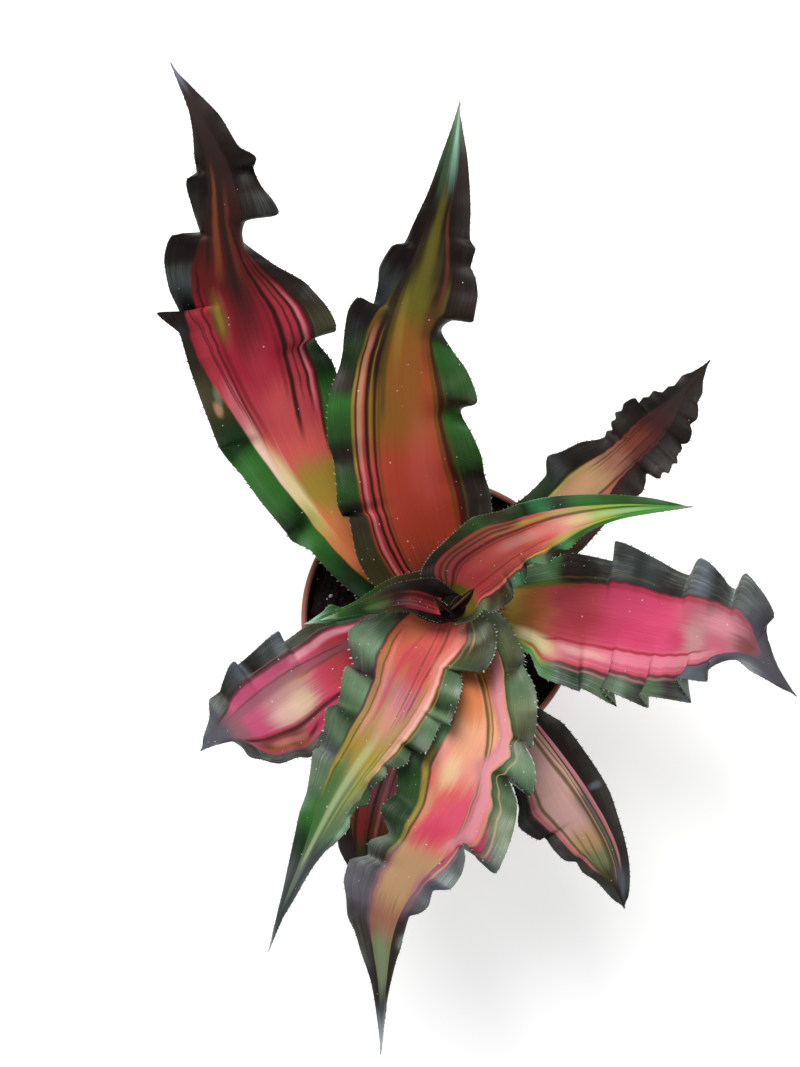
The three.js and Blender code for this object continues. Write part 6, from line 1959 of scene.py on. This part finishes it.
@dataclass
class Soil:
    """Dark crumbly soil that fills the pot, with crumbs of bark and pale grit on top.

    The spreads are the least and greatest factors of the bits' random sizes and shapes.
    """

    top: float = 72 * MM
    relief: float = 1.3 * MM
    foot: float = 3.1 * MM
    foot_radius: float = 29.8 * MM
    top_radius: float = 42.2 * MM
    sides: int = 120
    ring_gap: float = 1.3 * MM
    crumb_relief: float = 0.6 * MM
    crumbs: int = 1500
    crumb_sizes: tuple[float, float] = (0.5 * MM, 1.9 * MM)
    grit: int = 130
    grit_sizes: tuple[float, float] = (0.3 * MM, 0.85 * MM)
    bare_rim: float = 2 * MM
    knob_spread: tuple[float, float] = (0.7, 1.2)
    size_spread: tuple[float, float] = (0.4, 1.0)
    length_spread: tuple[float, float] = (1.0, 1.8)
    thickness_spread: tuple[float, float] = (0.5, 0.9)
    bit_lift: float = 0.25
    seed: int = 11

    def build(self, effects: Effects) -> None:
        """Makes the block, the crumbs and the grit.

        Args:
            effects: the shared shader groups.
        """
        block = self._block()
        damp = Surface(roughness=0.78, specular=0.15, bump=0.9, bump_depth=0.0008)
        peat = PlainFinish(PEAT, BARK, patch_scale=160.0, surface=damp, bump_scale=420.0, specks=0.35)
        block.data.materials.append(peat.material("damp peat", effects))
        fit_to_frame(block, "potting_soil", "soil")
        rng = random.Random(self.seed)
        rough = Surface(roughness=0.7, specular=0.2, bump=0.6)
        bark = PlainFinish(PEAT, BARK, patch_scale=220.0, surface=rough)
        crumbs = self._bits("soil_crumbs", self.crumbs, self.crumb_sizes, rng)
        crumbs.data.materials.append(bark.material("bark crumbs", effects))
        fit_to_frame(crumbs, "potting_soil")
        stone = PlainFinish(GRIT, STEEL, patch_scale=700.0, surface=Surface(roughness=0.8, bump=0.3))
        grit = self._bits("soil_grit", self.grit, self.grit_sizes, rng)
        grit.data.materials.append(stone.material("pale grit", effects))
        fit_to_frame(grit, "potting_soil")

    def _height(self, x: float, y: float) -> float:
        """Height of the soil's surface, by the same waves as the solid's and with crumbs.

        Args:
            x: the point's place to the right.
            y: its place to the back.

        Returns:
            The height above the pot's foot.
        """
        a, b = x / MM, y / MM
        coarse = math.sin(0.31 * a + 1.7) * math.cos(0.27 * b - 0.6)
        fine = math.sin(0.83 * a - 0.9 * b) * math.cos(0.71 * b + 0.35 * a)
        crumb = noise.noise(Vector((a * 0.8, b * 0.8, 3.0)))
        return self.top + self.relief * (0.55 * coarse + 0.45 * fine) + self.crumb_relief * crumb

    def _block(self) -> Piece:
        """The soil's body, with rings on top that follow its crumbly surface.

        Returns:
            The block.
        """
        profile = [(self.foot_radius, self.foot), (self.top_radius, self.top)]
        rings = int(self.top_radius / self.ring_gap) - 1
        block = turned("soil_block", profile, self.sides, insets=rings, inset=self.ring_gap)
        points = points_of(block)
        for point in points:
            if point[2] > self.top - 0.1 * MM:
                point[2] = self._height(point[0], point[1])
        set_points(block, points)
        smooth_shading(block, degrees=60.0)
        return block

    def _bits(self, name: str, count: int, sizes: tuple[float, float], rng: random.Random) -> Piece:
        """Rough bits partly sunk in the soil's surface.

        Args:
            name: the piece's name.
            count: how many bits.
            sizes: smallest and largest radius.
            rng: random numbers.

        Returns:
            All the bits as one mesh.
        """
        deselect_all()
        bpy.ops.mesh.primitive_ico_sphere_add(subdivisions=1, radius=1.0)
        bit = bpy.context.object
        knobs = points_of(bit)
        set_points(bit, knobs * np.array([[rng.uniform(*self.knob_spread)] for _ in knobs]))
        places = []
        for _ in range(count):
            radius = (self.top_radius - self.bare_rim) * math.sqrt(rng.random())
            angle = rng.uniform(0, 2 * math.pi)
            x, y = radius * math.cos(angle), radius * math.sin(angle)
            size = rng.uniform(*sizes) * rng.uniform(*self.size_spread)
            spin = rng.uniform(0, math.pi)
            turn = Matrix.Rotation(spin, 4, Vector((rng.random(), rng.random(), 1)).normalized())
            length = size * rng.uniform(*self.length_spread)
            thickness = size * rng.uniform(*self.thickness_spread)
            stretch = Matrix.Diagonal((length, size, thickness, 1))
            spot = Matrix.Translation((x, y, self._height(x, y) + size * self.bit_lift))
            places.append(spot @ turn @ stretch)
        return scatter(name, bit, places)


@dataclass
class Stem:
    """Short upright stem, ringed by the scars of fallen leaves."""

    centre: tuple[float, float] = (STEM_PLACE[0] * MM, STEM_PLACE[1] * MM)
    foot: float = 58 * MM
    waist: float = 80 * MM
    top: float = 104 * MM
    foot_radius: float = 7.2 * MM
    top_radius: float = 3.4 * MM
    sides: int = 48
    scars: int = 22
    foot_narrowing: float = 0.92
    scar_narrowing: float = 0.93
    dark_above: float = 98 * MM

    def build(self, effects: Effects) -> None:
        """Makes the stem and fits it to the frame.

        Args:
            effects: the shared shader groups.
        """
        profile = [(self.foot_radius * self.foot_narrowing, self.foot)]
        for step in range(1, 2 * self.scars + 1):
            height = self.foot + (self.top - self.foot) * step / (2 * self.scars)
            share = max(0.0, (height - self.waist) / (self.top - self.waist))
            radius = self.foot_radius + (self.top_radius - self.foot_radius) * share
            profile.append((radius * (1.0 if step % 2 else self.scar_narrowing), height))
        stem = turned("stem_bark", profile, self.sides, self.centre)
        smooth_shading(stem, degrees=20.0)
        bark = PlainFinish(
            STEM_BROWN, STEM_DARK, patch_scale=300.0, bump_scale=1300.0,
            surface=Surface(roughness=0.85, specular=0.3, bump=0.6),
        )
        heart = PlainFinish(
            SOOT, PEAT, patch_scale=500.0, surface=Surface(roughness=0.8, specular=0.1, bump=0.5)
        )
        stem.data.materials.append(bark.material("fibrous stem", effects))
        stem.data.materials.append(heart.material("dark heart", effects))
        for face in stem.data.polygons:
            face.material_index = int(face.center.z > self.dark_above)
        fit_to_frame(stem, "stem_bark", "stem")


@dataclass
class Studio:
    """Pale floor, soft light, and the camera straight above the plant."""

    floor_radius: float = 3.0
    window: tuple[float, float, float] = (-0.15, 0.42, 0.7)
    fill: tuple[float, float, float] = (0.7, -0.7, 0.9)
    aim: tuple[float, float, float] = (0.0, 0.02, 0.1)
    eye: tuple[float, float, float] = (-12.95 * MM, 27.36 * MM, 480 * MM)
    focal_pixels: float = 1235.6
    picture_height: float = 1067.0
    sensor: float = 36.0
    sky: tuple[float, float, float] = (0.93, 0.96, 1.0)
    sky_strength: float = 0.36

    def build(self, effects: Effects) -> None:
        """Makes the floor, the lights and the camera.

        Args:
            effects: the shared shader groups.
        """
        self._camera()
        self._floor(effects)
        self._sky()
        self._softbox("window", self.window, width=0.34, power=6.0)
        self._softbox("fill", self.fill, width=1.0, power=2.0)

    def _camera(self) -> None:
        """The camera, which looks straight down with the plant's back at the top of the picture."""
        data = bpy.data.cameras.new("camera")
        data.sensor_width = self.sensor
        data.lens = self.sensor * self.focal_pixels / self.picture_height
        data.clip_start = 0.01
        camera = bpy.data.objects.new("camera", data)
        camera.location = self.eye
        bpy.context.collection.objects.link(camera)
        bpy.context.scene.camera = camera

    def _floor(self, effects: Effects) -> None:
        """A large round pale floor.

        Args:
            effects: the shared shader groups.
        """
        deselect_all()
        bpy.ops.mesh.primitive_circle_add(vertices=96, radius=self.floor_radius, fill_type="NGON")
        floor = bpy.context.object
        floor.name = "floor"
        matt = Surface(roughness=0.9, specular=0.1, glow=0.5, bump=0.02)
        finish = PlainFinish(PALE_FLOOR, PALE_FLOOR, patch_scale=3.0, surface=matt, bump_scale=60.0)
        floor.data.materials.append(finish.material("pale floor", effects))

    def _sky(self) -> None:
        """Even pale light from all round."""
        world = bpy.data.worlds.new("soft sky")
        world.use_nodes = True
        background = world.node_tree.nodes["Background"]
        background.inputs[0].default_value = (*self.sky, 1.0)
        background.inputs[1].default_value = self.sky_strength
        bpy.context.scene.world = world

    def _softbox(self, name: str, place: tuple[float, float, float], width: float, power: float) -> None:
        """A square soft light that faces the plant.

        Args:
            name: the light's name.
            place: where it hangs.
            width: its width in metres.
            power: its power in watts.
        """
        data = bpy.data.lights.new(name, "AREA")
        data.size = width
        data.energy = power
        light = bpy.data.objects.new(name, data)
        light.location = place
        direction = Vector(self.aim) - Vector(place)
        light.rotation_euler = direction.to_track_quat("-Z", "Y").to_euler()
        bpy.context.collection.objects.link(light)


def main() -> None:
    """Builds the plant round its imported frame."""
    logging.basicConfig(level=logging.INFO, format="%(message)s")
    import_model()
    deselect_all()
    bpy.context.scene.view_settings.view_transform = "Standard"
    effects = Effects()
    Studio().build(effects)
    Pot().build(effects)
    Soil().build(effects)
    Stem().build(effects)
    for seed, plan in enumerate(LEAVES, start=FIRST_LEAF_SEED):
        Leaf(plan, seed).build(effects)
    for seed, plan in enumerate(BUDS, start=FIRST_BUD_SEED):
        Bud(plan, seed).build(effects)
    deselect_all()
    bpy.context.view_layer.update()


if __name__ == "__main__":
    main()
